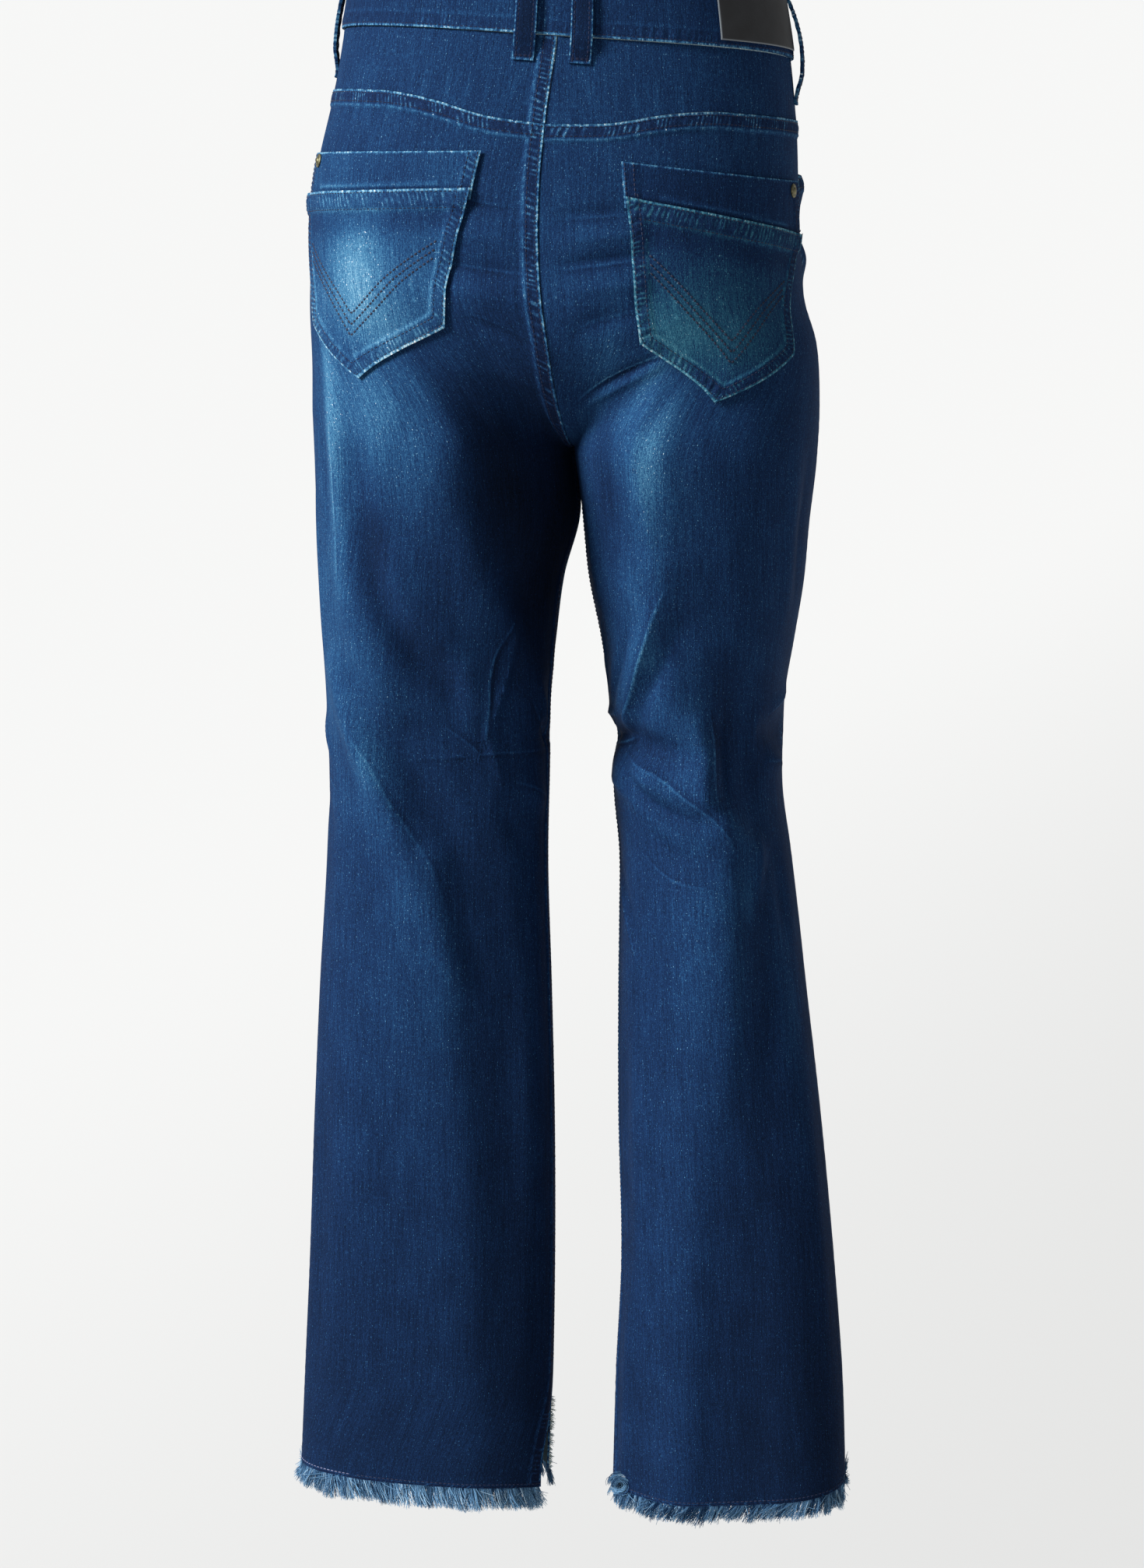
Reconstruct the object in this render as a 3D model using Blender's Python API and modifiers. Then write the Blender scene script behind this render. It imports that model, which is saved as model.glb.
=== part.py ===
"""Straight-leg jeans, filled out as worn, with nobody in them.

Metres, +Z up. The front faces -Y and the wearer's left is +X. The origin is the
centre of the waist opening, level with the top of the waistband at the back.
The shape is worked out in millimetres and scaled when a mesh is made.

A place on the cloth has two coordinates. `down` is the distance below the waist.
`turn` runs round one half of the jeans: 0 is the centre-back seam, which becomes
the inseam under the fork, 180 is the side seam, and 360 is the centre front,
which becomes the inseam again.
"""
import math
import random

import bmesh
import bpy
import numpy as np
from mathutils import Matrix, Vector

MM = 0.001
SIDES = {"left": 1, "right": -1}

CLOTH = 1.4                # denim wall
SEAM = 0.3                 # gap between sewn pieces, and between layers
SEAM_TURN = 0.08           # the same gap at a seam that runs down the leg, in degrees of turn
LAP = 1.0                  # how far a felled seam stands up
LAP_WIDTH = 10             # width of a felled seam
LAP_TURN = 8               # the same beside the centre-back seam and inseam
FELL_RISE = 60             # the right inseam's felled seam rises over this length under the fork

SEAT = 205                 # level where the centre-back seam starts to curve under
FORK = 315                 # level of the crotch point
SQUARENESS = 2 / 2.3       # exponent of the rounded sections
HIP_TILT = 0.062           # the right hip hangs lower: drop for each unit to the side
TILT_TOP, TILT_RUN = 200, 360
TURN_LENGTH = 460 / 360    # length of one degree of turn, for measuring across folds
SLOPE_STEP = 1.5           # for slopes, in degrees of turn and in level
FRONT_DROP = 20            # the waist is this much lower at the front

BAND_HEIGHT = 42           # waistband
BAND_INNER, BAND_OUTER = -1.0, 2.2
BAND_LIFT = 3.6            # the button end of the waistband lies over the other end
BAND_OVER, BAND_UNDER = 12, 24     # how far each end runs past the centre front, in turn
BAND_RISE_TURN, BAND_RISE_RUN = 304, 22     # where the button end starts to rise


def table(names, *rows):
    """Named columns from rows of numbers."""
    return dict(zip(names.split(), np.array(rows, float).T))


# Hips, level by level: centre seam and side edges in x, back and front in y.
TORSO = table(
    "down seam left right back front",
    (0, -4, 139, -141, 98, -92),
    (42, -3, 146, -148, 103, -96),
    (90, 3, 154.5, -153, 110, -99),
    (140, 7, 166, -155, 119, -101),
    (180, 7, 170.5, -157, 125, -101),
    (210, 5, 171.5, -160, 127, -100),
    (235, 2, 172, -168, 126, -98),
    (280, -2, 169.5, -170, 118, -94),
    (315, -6, 170, -169, 108, -90),
)

# Each leg: inner and outer edges in x, middle in y, and half its depth. The right knee is bent.
LEGS = {
    "left": table(
        "down inner outer middle depth",
        (205, 4, 171.5, 12, 112),
        (260, 0, 170, 10, 106),
        (315, -5.8, 170, 6, 100),
        (363, -9, 169.5, 2, 92),
        (405, 2, 168, -2, 87),
        (448, 8, 167, -6, 82),
        (491, 12.5, 165, -8, 76),
        (530, 13, 164, -8, 69),
        (600, 14, 166, -4, 63),
        (688, 11, 171, 3, 57),
        (777, 8.5, 175, 9, 52),
        (890, 8, 179.5, 13, 47),
        (960, 9, 183, 15, 45),
        (1060, 12, 188, 16, 44),
    ),
    "right": table(
        "down inner outer middle depth",
        (205, 5, -160, 12, 112),
        (260, -1, -170, 8, 107),
        (315, -6.2, -169, 2, 102),
        (363, -12, -164, -8, 98),
        (405, -15.5, -160.5, -17, 94),
        (448, -23, -154, -27, 90),
        (491, -28.5, -147.5, -38, 86),
        (515, -32.5, -146.5, -42, 83),
        (556, -31, -146.5, -40, 79),
        (600, -35.5, -153, -33, 75),
        (644, -36, -159, -26, 71),
        (688, -36, -164.5, -19, 67),
        (777, -37, -176, -7, 61),
        (890, -40, -188, 5, 54),
        (960, -37, -194, 10, 50),
        (1060, -34.5, -198, 13, 47),
    ),
}

# Largest folds: each runs from one place to another; a height under zero is a trough.
FOLDS = {
    "left": table(
        "turn0 down0 turn1 down1 width height",
        (40, 255, 26, 470, 30, -7),
        (92, 300, 60, 440, 18, 5),
        (150, 455, 94, 580, 17, 6),
        (96, 565, 72, 700, 15, 5),
        (128, 455, 60, 640, 17, -5),
        (330, 300, 265, 262, 15, 4),
        (335, 345, 262, 330, 16, -4),
        (232, 490, 318, 512, 15, 5),
        (236, 548, 322, 560, 15, -4),
    ),
    "right": table(
        "turn0 down0 turn1 down1 width height",
        (78, 370, 76, 425, 17, 5),
        (78, 410, 14, 520, 15, 6),
        (20, 512, 98, 520, 12, -6),
        (2, 534, 90, 544, 13, 5),
        (80, 538, 138, 602, 14, 5),
        (112, 440, 128, 565, 26, -7),
        (84, 590, 98, 700, 28, 5),
        (138, 505, 182, 518, 12, -5),
        (186, 126, 198, 142, 11, 4),
        (186, 172, 198, 190, 11, 4),
        (330, 300, 262, 266, 15, 4),
        (335, 345, 262, 328, 16, -4),
        (238, 470, 312, 492, 15, 5),
        (238, 535, 316, 560, 16, -5),
    ),
}

# Seam between yoke and back leg, as a level for each turn.
YOKE_SEAM = table("turn down", (0, 98), (25, 95), (50, 88), (75, 84.5), (110, 85), (180, 89))

# Rows of a leg, from the fork (0) to the raw hem (1): they lie closer together down to the knee.
LEG_ROWS = table("row level", (0, 0), (0.15, 0.15), (0.56, 0.43), (1, 1))

# Back pocket corners: distance from the centre-back seam along the cloth, and level.
POCKETS = {
    "left": table(
        "across down",
        (39, 118), (190, 130),      # strip patch, inner and outer top
        (44, 142), (198, 157),      # pocket patch, inner and outer top
        (68, 228), (184, 240),      # bottom corners
        (143, 270),                 # point
    ),
    "right": table(
        "across down",
        (51, 119), (202, 128),
        (55, 141), (207, 163),
        (59, 229), (170, 239),
        (113, 270),
    ),
}
POCKET_LAP = 7             # how far the pocket patch covers the strip patch
POCKET_CLOTH = 1.1
POCKET_OUT = 1.3           # from the leg's face to the patch's underside

MOUTH_TURN = 266           # where the front pocket's mouth meets the waistband
MOUTH_DEPTH = 76           # how far under the waistband it ends at the side seam
FACING_MARGIN = 14         # how far the facing runs on under the front
FACING_CLOTH = 1.2
FACING_SINK = CLOTH + 0.6  # from level with the side seam to under the front
FACING_SINK_TURN = 20      # it sinks over this much turn from the side seam,
FACING_SINK_TOP, FACING_SINK_RUN = 20, 14     # or in the last stretch above the mouth
FACING_FLAT_TURN = 262     # from here its lower edge runs level

FLY_TURN = 31              # width of the placket, in turn, and its lap past the centre front
FLY_LAP_TURN = 3
FLY_LENGTH = 132
FLY_STRAIGHT = 0.72        # the share of its length above the rounded corner
FLY_CLOTH = 1.1
ZIP_TURN = 11
ZIP_LAP_TURN = 5
ZIP_LENGTH = 118
ZIP_TOP = 2                # under the waistband
ZIP_THICK = 1.4
ZIP_BEHIND = 1.0           # clear of the fronts' curved inside

# Raw hems: level at the inseam and at the side seam, and the sag between them.
HEMS = {
    ("left", "back"): dict(inseam=1048, side_seam=1034, sag=-5),
    ("left", "front"): dict(inseam=1037, side_seam=1034, sag=2),
    ("right", "back"): dict(inseam=1041, side_seam=1038, sag=5),
    ("right", "front"): dict(inseam=1044, side_seam=1038, sag=-2),
}
SLIT_TOP, SLIT_END = 962, 1036     # the inseam opens between these levels
SLIT_TURN = {"left": 19, "right": 4}     # how far the back's edge turns aside at the hem

FRINGE_ROOT = 2.4          # height of the strip that holds the threads
FRINGE_LENGTH = {"left": 16, "right": 13}
FRINGE_INSET = 1.5         # from the ends of the hem, in turn
STRANDS = 26               # on each half hem
STRAND_STEPS = (0.55, 0.75), (0.45, 0.3)     # share of the length, and how much it narrows
STRAND_LEAN = 0.25         # sideways for each unit of length, at most
STRAND_UNEVEN = 0.75, 1.1  # length of a step, at least and at most

PATCH_ACROSS = 104, 187    # leather patch: distances from the centre back, and levels
PATCH_DOWN = 3.5, 38
PATCH_THICK = 1.2
PATCH_GAP = 0.5            # from the waistband's face

LOOP_WIDTH = 14
LOOP_THICK = 1.8
LOOP_TOP = 1.5             # below the waistband's top edge
LOOP_STEP, LOOP_STEP_RUN = 0.72, 0.2     # where it steps down off the band, in shares of its length
LOOP_BOW = 0.94            # the share of its length that stands off
# Each loop: its side, its distance from the centre back, its lowest level, how far it stands off.
LOOPS = {
    "belt_loop_back_left": dict(side="left", across=20, lowest=59, stand=2.6),
    "belt_loop_back_right": dict(side="right", across=16, lowest=59, stand=2.6),
    "belt_loop_side_left": dict(side="left", across=204, lowest=74, stand=3.2),
    "belt_loop_side_right": dict(side="right", across=200, lowest=72, stand=5.0),
    "belt_loop_front_left": dict(side="left", across=305, lowest=74, stand=2.8),
    "belt_loop_front_right": dict(side="right", across=302, lowest=74, stand=2.8),
}

BUTTON_TURN = 358
RIVET_PART = 0.17          # from the strip patch's top corner to the pocket patch's
RIVET_INSET = 12
# Turned profiles: radius and height.
BUTTON = (0, 3.4), (5.6, 3.4), (7.2, 3.0), (8.4, 2.0), (8.4, 1.4), (3, 1.2), (3, 0), (0, 0)
RIVET = (0, 1.9), (1.6, 1.9), (2.2, 1.0), (3.6, 1.1), (4.6, 0.5), (4.6, 0), (0, 0)
BUTTON_STEPS, RIVET_STEPS = 20, 12

COLORS = {                 # linear red, green, blue; metallic; roughness
    "denim": (0.022, 0.052, 0.125, 0, 0.9),
    "denim_band": (0.018, 0.044, 0.11, 0, 0.9),
    "denim_pocket": (0.03, 0.07, 0.14, 0, 0.9),
    "denim_fringe": (0.12, 0.22, 0.36, 0, 0.95),
    "leather": (0.02, 0.021, 0.021, 0, 0.6),
    "tape": (0.02, 0.03, 0.06, 0, 0.9),
    "brass": (0.28, 0.25, 0.19, 1, 0.4),
}


def smooth(columns, key, name, where):
    """Value of one column at `where`, on a smooth curve through the rows."""
    x, y = columns[key], columns[name]
    slope = np.gradient(y, x)
    where = np.clip(where, x[0], x[-1])
    row = np.clip(np.searchsorted(x, where, side="right") - 1, 0, len(x) - 2)
    step = x[row + 1] - x[row]
    t = (where - x[row]) / step
    start = (1 + 2 * t) * (1 - t) ** 2 * y[row] + t * (1 - t) ** 2 * step * slope[row]
    end = t * t * (3 - 2 * t) * y[row + 1] + t * t * (t - 1) * step * slope[row + 1]
    return start + end


def bow(value):
    """A cosine or sine of a rounded section that is a little squarer than an ellipse."""
    return np.sign(value) * np.abs(value) ** SQUARENESS


def ease(value):
    value = np.clip(value, 0, 1)
    return value * value * (3 - 2 * value)


def surface(side, down, turn):
    """Smooth outside of the jeans: a hip section, a leg section, or the seat curve between them."""
    down, turn = np.broadcast_arrays(np.asarray(down, float), np.asarray(turn, float))
    drop = np.clip((down - SEAT) / (FORK - SEAT), 0, 1)
    swing = drop * math.pi / 2
    near = np.clip(np.abs(turn / 180 - 1), 0, 1) ** 5
    level = down + (FORK - SEAT) * near * (np.sin(swing) - drop)
    share = near * (1 - np.cos(swing)) + (1 - near) * ease(drop)

    half = np.radians(turn / 2)
    seam = smooth(TORSO, "down", "seam", level)
    edge = smooth(TORSO, "down", side, level)
    back = smooth(TORSO, "down", "back", level)
    front = -smooth(TORSO, "down", "front", level)
    hip_x = seam + (edge - seam) * bow(np.sin(half))
    hip_y = np.where(np.cos(half) > 0, back, front) * bow(np.cos(half))

    leg = LEGS[side]
    inner = smooth(leg, "down", "inner", level)
    outer = smooth(leg, "down", "outer", level)
    leg_x = (inner + outer) / 2 - (outer - inner) / 2 * bow(np.cos(2 * half))
    leg_y = smooth(leg, "down", "middle", level) + smooth(leg, "down", "depth", level) * bow(np.sin(2 * half))

    x = hip_x + share * (leg_x - hip_x)
    y = hip_y + share * (leg_y - hip_y)
    tilt = HIP_TILT * (1 - ease((level - TILT_TOP) / TILT_RUN))
    return np.stack((x, y, tilt * x - level), -1)


def outward(side, down, turn):
    """Unit normals of the smooth outside."""
    across = surface(side, down, turn + SLOPE_STEP) - surface(side, down, turn - SLOPE_STEP)
    along = surface(side, down + SLOPE_STEP, turn) - surface(side, down - SLOPE_STEP, turn)
    normal = np.cross(across, along) * SIDES[side]
    return normal / np.linalg.norm(normal, axis=-1, keepdims=True)


def fold_height(side, down, turn):
    """Sum of the folds at a place on the cloth."""
    folds = FOLDS[side]
    total = 0
    for row in range(len(folds["width"])):
        turn0, down0, turn1, down1, width, height = (folds[name][row] for name in folds)
        run = np.array(((turn1 - turn0) * TURN_LENGTH, down1 - down0))
        length = np.linalg.norm(run)
        across, along = (turn - turn0) * TURN_LENGTH, down - down0
        part = np.clip((across * run[0] + along * run[1]) / length ** 2, 0, 1)
        distance = (across * run[1] - along * run[0]) / length
        total = total + height * np.sin(math.pi * part) ** 0.8 * np.exp(-(distance / width) ** 2)
    return total


def cloth(side, down, turn, out=0.0):
    """Point of the folded cloth, `out` from its face."""
    down, turn = np.broadcast_arrays(np.asarray(down, float), np.asarray(turn, float))
    height = np.asarray(out) + fold_height(side, down, turn)
    return surface(side, down, turn) + outward(side, down, turn) * height[..., None]


def turn_at(side, down, across):
    """Turn at a distance along the cloth from the centre-back seam, for each of many places."""
    turns = np.linspace(0, 360, 181)
    result = []
    for level, reach in zip(np.ravel(down), np.ravel(across)):
        steps = np.linalg.norm(np.diff(surface(side, level, turns), axis=0), axis=1)
        result.append(np.interp(reach, np.concatenate(((0,), np.cumsum(steps))), turns))
    return np.reshape(result, np.shape(down))


def waist(turn):
    """Level of the waistband's top edge."""
    return FRONT_DROP * ((1 - np.cos(np.radians(turn / 2))) / 2) ** 1.5


def yoke_seam(turn):
    return smooth(YOKE_SEAM, "turn", "down", turn)


def mouth(turn):
    """Level of the front's top edge: the waistband seam, then the scooped pocket mouth."""
    part = np.clip((turn - 180) / (MOUTH_TURN - 180), 0, 1)
    return waist(turn) + BAND_HEIGHT + SEAM + MOUTH_DEPTH * np.sqrt(1 - part ** 2)


def hem(side, face, turn):
    """Level of the raw edge."""
    edge = HEMS[side, face]
    part = 1 - np.abs(turn - 180) / 180
    level = edge["inseam"] + (edge["side_seam"] - edge["inseam"]) * part
    return level + edge["sag"] * np.sin(math.pi * part)


def leg_levels(edge, count):
    """Levels of the seat's rows, then of the leg's rows down to the raw edge."""
    seat = [np.full_like(edge, level) for level in np.linspace(SEAT, FORK, 7)[1:]]
    parts = np.interp(np.linspace(0, 1, count), LEG_ROWS["row"], LEG_ROWS["level"])
    return seat + [FORK + (edge - FORK) * part for part in parts[1:]]


def slit(down):
    """How far the inseam slit is open at a level, from 0 to 1."""
    return ease((down - SLIT_TOP) / (SLIT_END - SLIT_TOP))


def show(name, mesh, finish):
    """Adds a mesh as a named node with its own material."""
    *color, metallic, roughness = COLORS[finish]
    material = bpy.data.materials.new(name)
    material.use_nodes = True
    shader = material.node_tree.nodes["Principled BSDF"]
    shader.inputs["Base Color"].default_value = (*color, 1)
    shader.inputs["Metallic"].default_value = metallic
    shader.inputs["Roughness"].default_value = roughness
    material.diffuse_color = (*color, 1)
    mesh.materials.append(material)
    node = bpy.data.objects.new(name, mesh)
    jeans.objects.link(node)
    return node


def wall(outer, inner):
    """Closed bmesh between two grids of points, with its border closed."""
    shape = bmesh.new()
    rows, columns = outer.shape[:2]
    faces = [[[shape.verts.new(point * MM) for point in line] for line in grid] for grid in (outer, inner)]
    front, back = faces
    for row in range(rows - 1):
        for column in range(columns - 1):
            near = (row, column), (row, column + 1), (row + 1, column + 1), (row + 1, column)
            shape.faces.new([front[r][c] for r, c in near])
            shape.faces.new([back[r][c] for r, c in reversed(near)])
    border = [(0, c) for c in range(columns)] + [(r, columns - 1) for r in range(1, rows)]
    border += [(rows - 1, c) for c in range(columns - 2, -1, -1)] + [(r, 0) for r in range(rows - 2, 0, -1)]
    for (r0, c0), (r1, c1) in zip(border, border[1:] + border[:1]):
        shape.faces.new((front[r1][c1], front[r0][c0], back[r0][c0], back[r1][c1]))
    bmesh.ops.recalc_face_normals(shape, faces=shape.faces)
    return shape


def finish_mesh(name, shape):
    mesh = bpy.data.meshes.new(name)
    shape.to_mesh(mesh)
    shape.free()
    mesh.shade_smooth()
    mesh.set_sharp_from_angle(angle=math.radians(50))
    return mesh


def panel(name, side, down, turn, raised=0.0, lift=0.0, thick=CLOTH, finish="denim"):
    """One cut piece: a wall from `lift` to `lift` less `thick`, with raised seams on its outside."""
    outer = cloth(side, down, turn, lift + raised)
    inner = cloth(side, down, turn, lift - thick)
    return show(name, finish_mesh(name, wall(outer, inner)), finish)


def build_back_leg(side):
    """Back of a leg from yoke to raw hem; its top laps over the yoke and its inner edge is felled."""
    turns = np.concatenate(((0, LAP_TURN, LAP_TURN + 2), np.linspace(26, 180, 10)))
    turns[0] += SEAM_TURN
    turns[-1] -= SEAM_TURN
    top = yoke_seam(turns) + SEAM
    hips = [top, top + LAP_WIDTH, top + LAP_WIDTH + 2]
    hips += [hips[-1] + (SEAT - hips[-1]) * part for part in (0.33, 0.67, 1)]
    opening = (1 - turns / 180) * SLIT_TURN[side]
    down = np.array(hips + leg_levels(hem(side, "back", turns + opening), 30))
    turn = turns + opening * slit(down)
    raised = np.zeros_like(down)
    raised[:2] = LAP
    fell = LAP if side == "left" else LAP * ease((down - FORK) / FELL_RISE)
    raised = np.where(np.arange(len(turns)) < 2, np.maximum(raised, fell), raised)
    panel(f"back_leg_{side}", side, down, turn, raised)


def build_front_leg(side):
    """Front of a leg, from the waistband and the scooped pocket mouth to the raw hem."""
    turns = np.array((180, 200, 222, 242, 257, MOUTH_TURN, 285, 310, 335, 360), float)
    turns[0] += SEAM_TURN
    turns[-1] -= SEAM_TURN
    top = mouth(turns)
    hips = [top + (SEAT - top) * part for part in (0, 0.12, 0.4, 0.7, 1)]
    down = np.array(hips + leg_levels(hem(side, "front", turns), 24))
    panel(f"front_leg_{side}", side, down, np.broadcast_to(turns, down.shape))


def build_yoke(side):
    turns = np.concatenate(((SEAM_TURN,), np.linspace(16, 180 - SEAM_TURN, 11)))
    top = waist(turns) + BAND_HEIGHT + SEAM
    down = np.array([top + (yoke_seam(turns) - top) * part for part in (0, 0.33, 0.67, 1)])
    panel(f"yoke_{side}", side, down, np.broadcast_to(turns, down.shape))


def build_facing(side):
    """Front pocket facing: level with the side seam, then under the front's scooped edge."""
    turns = np.array((180 + SEAM_TURN, 200, 222, 242, 257, MOUTH_TURN + 9))
    top = waist(turns) + BAND_HEIGHT + SEAM
    edge = mouth(np.minimum(turns, FACING_FLAT_TURN))
    down = np.array([top + (edge + FACING_MARGIN - top) * part for part in np.linspace(0, 1, 7)])
    from_seam = ease((turns - 180) / FACING_SINK_TURN)
    from_above = ease((down - edge + FACING_SINK_TOP) / FACING_SINK_RUN)
    panel(f"pocket_facing_{side}", side, down, np.broadcast_to(turns, down.shape),
          lift=-FACING_SINK * np.maximum(from_seam, from_above), thick=FACING_CLOTH)


def build_waistband():
    """One strip round the waist; its left end laps over the right end at the centre front."""
    right = np.concatenate(((360 + BAND_UNDER, 360), np.linspace(345, 15, 21)))
    left = np.concatenate((np.linspace(0, 300, 20), (312, 328, 345, 360 + BAND_OVER)))
    grids = []
    for out in (BAND_OUTER, BAND_INNER):
        halves = []
        for side, turns in (("right", right), ("left", left)):
            rise = ease((turns - BAND_RISE_TURN) / BAND_RISE_RUN)
            lift = BAND_LIFT * rise if side == "left" else np.zeros_like(turns)
            down = np.array([waist(turns) + BAND_HEIGHT * part for part in (0, 0.5, 1)])
            halves.append(cloth(side, down, np.broadcast_to(turns, down.shape), out + lift))
        grids.append(np.concatenate(halves, axis=1))
    show("waistband", finish_mesh("waistband", wall(*grids)), "denim_band")


def build_belt_loop(name, side, across, lowest, stand):
    """Folded strip, sewn down at both ends, that stands off the waistband between them."""
    rows = np.linspace(0, 1, 10)
    edges = across + np.array((-0.5, 0.5)) * LOOP_WIDTH
    turns = turn_at(side, np.full(2, BAND_HEIGHT), edges)
    down = (LOOP_TOP + (lowest - LOOP_TOP) * rows)[:, None] + waist(turns)
    base = BAND_OUTER + SEAM - (BAND_OUTER - 0.2) * ease((rows - LOOP_STEP) / LOOP_STEP_RUN)
    lift = base + stand * np.sin(math.pi * np.clip(rows / LOOP_BOW, 0, 1)) ** 0.9
    panel(name, side, down, np.broadcast_to(turns, down.shape),
          lift=(lift + LOOP_THICK)[:, None], thick=LOOP_THICK, finish="denim_band")


def pocket_edge(side, first, second, part):
    """Places on the straight edge between two pocket corners."""
    corners = POCKETS[side]
    return tuple(corners[name][first] + (corners[name][second] - corners[name][first]) * part
                 for name in ("across", "down"))


def build_pocket(side):
    """Back pocket: a strip patch, and the pocket patch with its point, which laps over the strip."""
    part = np.linspace(0, 1, 9)
    upper = np.array(pocket_edge(side, 0, 1, part))
    lower = np.array(pocket_edge(side, 2, 3, part))
    to_point = pocket_edge(side, 4, 6, np.minimum(part * 2, 1))
    from_point = pocket_edge(side, 6, 5, np.maximum(part * 2 - 1, 0))
    bottom = np.where(part < 0.5, to_point, from_point)

    strip = np.array([upper + (lower + ((0,), (POCKET_LAP,)) - upper) * step for step in (0, 0.5, 1)])
    across, down = strip[:, 0], strip[:, 1]
    panel(f"back_pocket_strip_{side}", side, down, turn_at(side, down, across),
          lift=POCKET_OUT + POCKET_CLOTH, thick=POCKET_CLOTH, finish="denim_pocket")

    steps = np.array((0, 0.1, 0.17, 0.35, 0.55, 0.75, 1))
    patch = np.array([lower + (bottom - lower) * step for step in steps])
    across, down = patch[:, 0], patch[:, 1]
    lift = POCKET_OUT + POCKET_CLOTH + (SEAM + POCKET_CLOTH) * (1 - ease((steps - 0.1) / 0.07))
    panel(f"back_pocket_{side}", side, down, turn_at(side, down, across),
          lift=lift[:, None], thick=POCKET_CLOTH, finish="denim_pocket")


def build_patch():
    """Bare leather patch on the waistband, over the right hip."""
    turns = turn_at("right", np.full(8, BAND_HEIGHT / 2), np.linspace(*PATCH_ACROSS, 8))
    down = np.linspace(*PATCH_DOWN, 3)[:, None] + waist(turns)
    panel("leather_patch", "right", down, np.broadcast_to(turns, down.shape),
          lift=BAND_OUTER + PATCH_GAP + PATCH_THICK, thick=PATCH_THICK, finish="leather")


def build_fly():
    """Placket over the centre front, with a rounded lower corner, and the zip behind it."""
    part = np.linspace(0, 1, 7)
    turns = 360 + FLY_LAP_TURN - (FLY_TURN + FLY_LAP_TURN) * part
    top = waist(turns) + BAND_HEIGHT + SEAM
    length = FLY_LENGTH * (FLY_STRAIGHT + (1 - FLY_STRAIGHT) * np.sqrt(1 - part ** 2))
    down = np.array([top + length * step for step in np.linspace(0, 1, 8)])
    panel("fly", "left", down, np.broadcast_to(turns, down.shape), lift=SEAM + FLY_CLOTH, thick=FLY_CLOTH)

    grids = []
    edge = 360 - ZIP_TURN
    for out in (-CLOTH - ZIP_BEHIND, -CLOTH - ZIP_BEHIND - ZIP_THICK):
        halves = []
        for side, turns in (("right", (edge, 360 - ZIP_LAP_TURN)), ("left", (360, edge))):
            turns = np.array(turns, float)
            top = waist(turns) + BAND_HEIGHT + ZIP_TOP
            down = np.array([top + ZIP_LENGTH * step for step in (0, 0.25, 0.5, 0.75, 1)])
            halves.append(cloth(side, down, np.broadcast_to(turns, down.shape), out))
        grids.append(np.concatenate(halves, axis=1))
    show("zip", finish_mesh("zip", wall(*grids)), "tape")


def build_turned(name, profile, steps, side, down, turn, out):
    """Metal piece turned from a profile of radius and height, standing on the cloth."""
    mesh = bpy.data.meshes.new(name)
    points = [(radius * MM, 0, height * MM) for radius, height in profile]
    mesh.from_pydata(points, [(i, i + 1) for i in range(len(points) - 1)], [])
    node = show(name, mesh, "brass")
    spin = node.modifiers.new("turn", "SCREW")
    spin.steps = spin.render_steps = steps
    spin.use_merge_vertices = True
    spin.merge_threshold = 0.00001
    seat = cloth(side, np.array(down, float), np.array(turn, float), out) * MM
    facing = outward(side, np.array(down, float), np.array(turn, float))
    node.matrix_world = Matrix.Translation(seat) @ Vector(facing).to_track_quat("Z", "Y").to_matrix().to_4x4()


def build_metal():
    """Shank button on the waistband, and a rivet at each back pocket's outer corner."""
    build_turned("waist_button", BUTTON, BUTTON_STEPS, "left", waist(360) + BAND_HEIGHT / 2, BUTTON_TURN,
                 BAND_OUTER + BAND_LIFT + SEAM + 0.1)
    for side in SIDES:
        across, down = pocket_edge(side, 1, 3, RIVET_PART)
        turn = float(turn_at(side, down, across - RIVET_INSET))
        build_turned(f"pocket_rivet_{side}", RIVET, RIVET_STEPS, side, float(down), turn,
                     POCKET_OUT + POCKET_CLOTH + SEAM)


def build_fringe(side, face):
    """Raw hem: a narrow strip under the cloth's edge, with loose threads that hang from it."""
    draw = random.Random(f"{side} {face}")
    start, end = (SLIT_TURN[side], 180) if face == "back" else (180, 360)
    turns = np.linspace(start + FRINGE_INSET, end - FRINGE_INSET, STRANDS * 2)
    edge = hem(side, face, turns)
    down = np.array((edge + SEAM, edge + SEAM + FRINGE_ROOT))
    turn = np.broadcast_to(turns, down.shape)
    shape = wall(cloth(side, down, turn), cloth(side, down, turn, -CLOTH))
    roots = [root for root in shape.faces if root.normal.z < -0.8]
    roots.sort(key=lambda root: root.calc_center_median().x)
    for root in roots[::2]:
        end_face = root
        lean = [draw.uniform(-STRAND_LEAN, STRAND_LEAN) for _ in "xy"]
        hang = Vector((*lean, -1)) * FRINGE_LENGTH[side] * MM
        for length, taper in STRAND_STEPS:
            end_face = bmesh.ops.extrude_discrete_faces(shape, faces=[end_face])["faces"][0]
            middle = end_face.calc_center_median()
            drop = hang * length * draw.uniform(*STRAND_UNEVEN)
            for vert in end_face.verts:
                vert.co = middle + (vert.co - middle) * taper + drop
    name = f"hem_fringe_{face}_{side}"
    show(name, finish_mesh(name, shape), "denim_fringe")


for item in list(bpy.data.objects):
    bpy.data.objects.remove(item)
jeans = bpy.data.collections.new("jeans")
bpy.context.scene.collection.children.link(jeans)

for one_side in SIDES:
    build_back_leg(one_side)
    build_front_leg(one_side)
    build_yoke(one_side)
    build_facing(one_side)
    build_pocket(one_side)
    build_fringe(one_side, "back")
    build_fringe(one_side, "front")
build_waistband()
for loop_name, place in LOOPS.items():
    build_belt_loop(loop_name, **place)
build_patch()
build_fly()
build_metal()
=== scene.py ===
import math

import bpy
import numpy as np
from mathutils import Matrix, Vector


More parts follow.
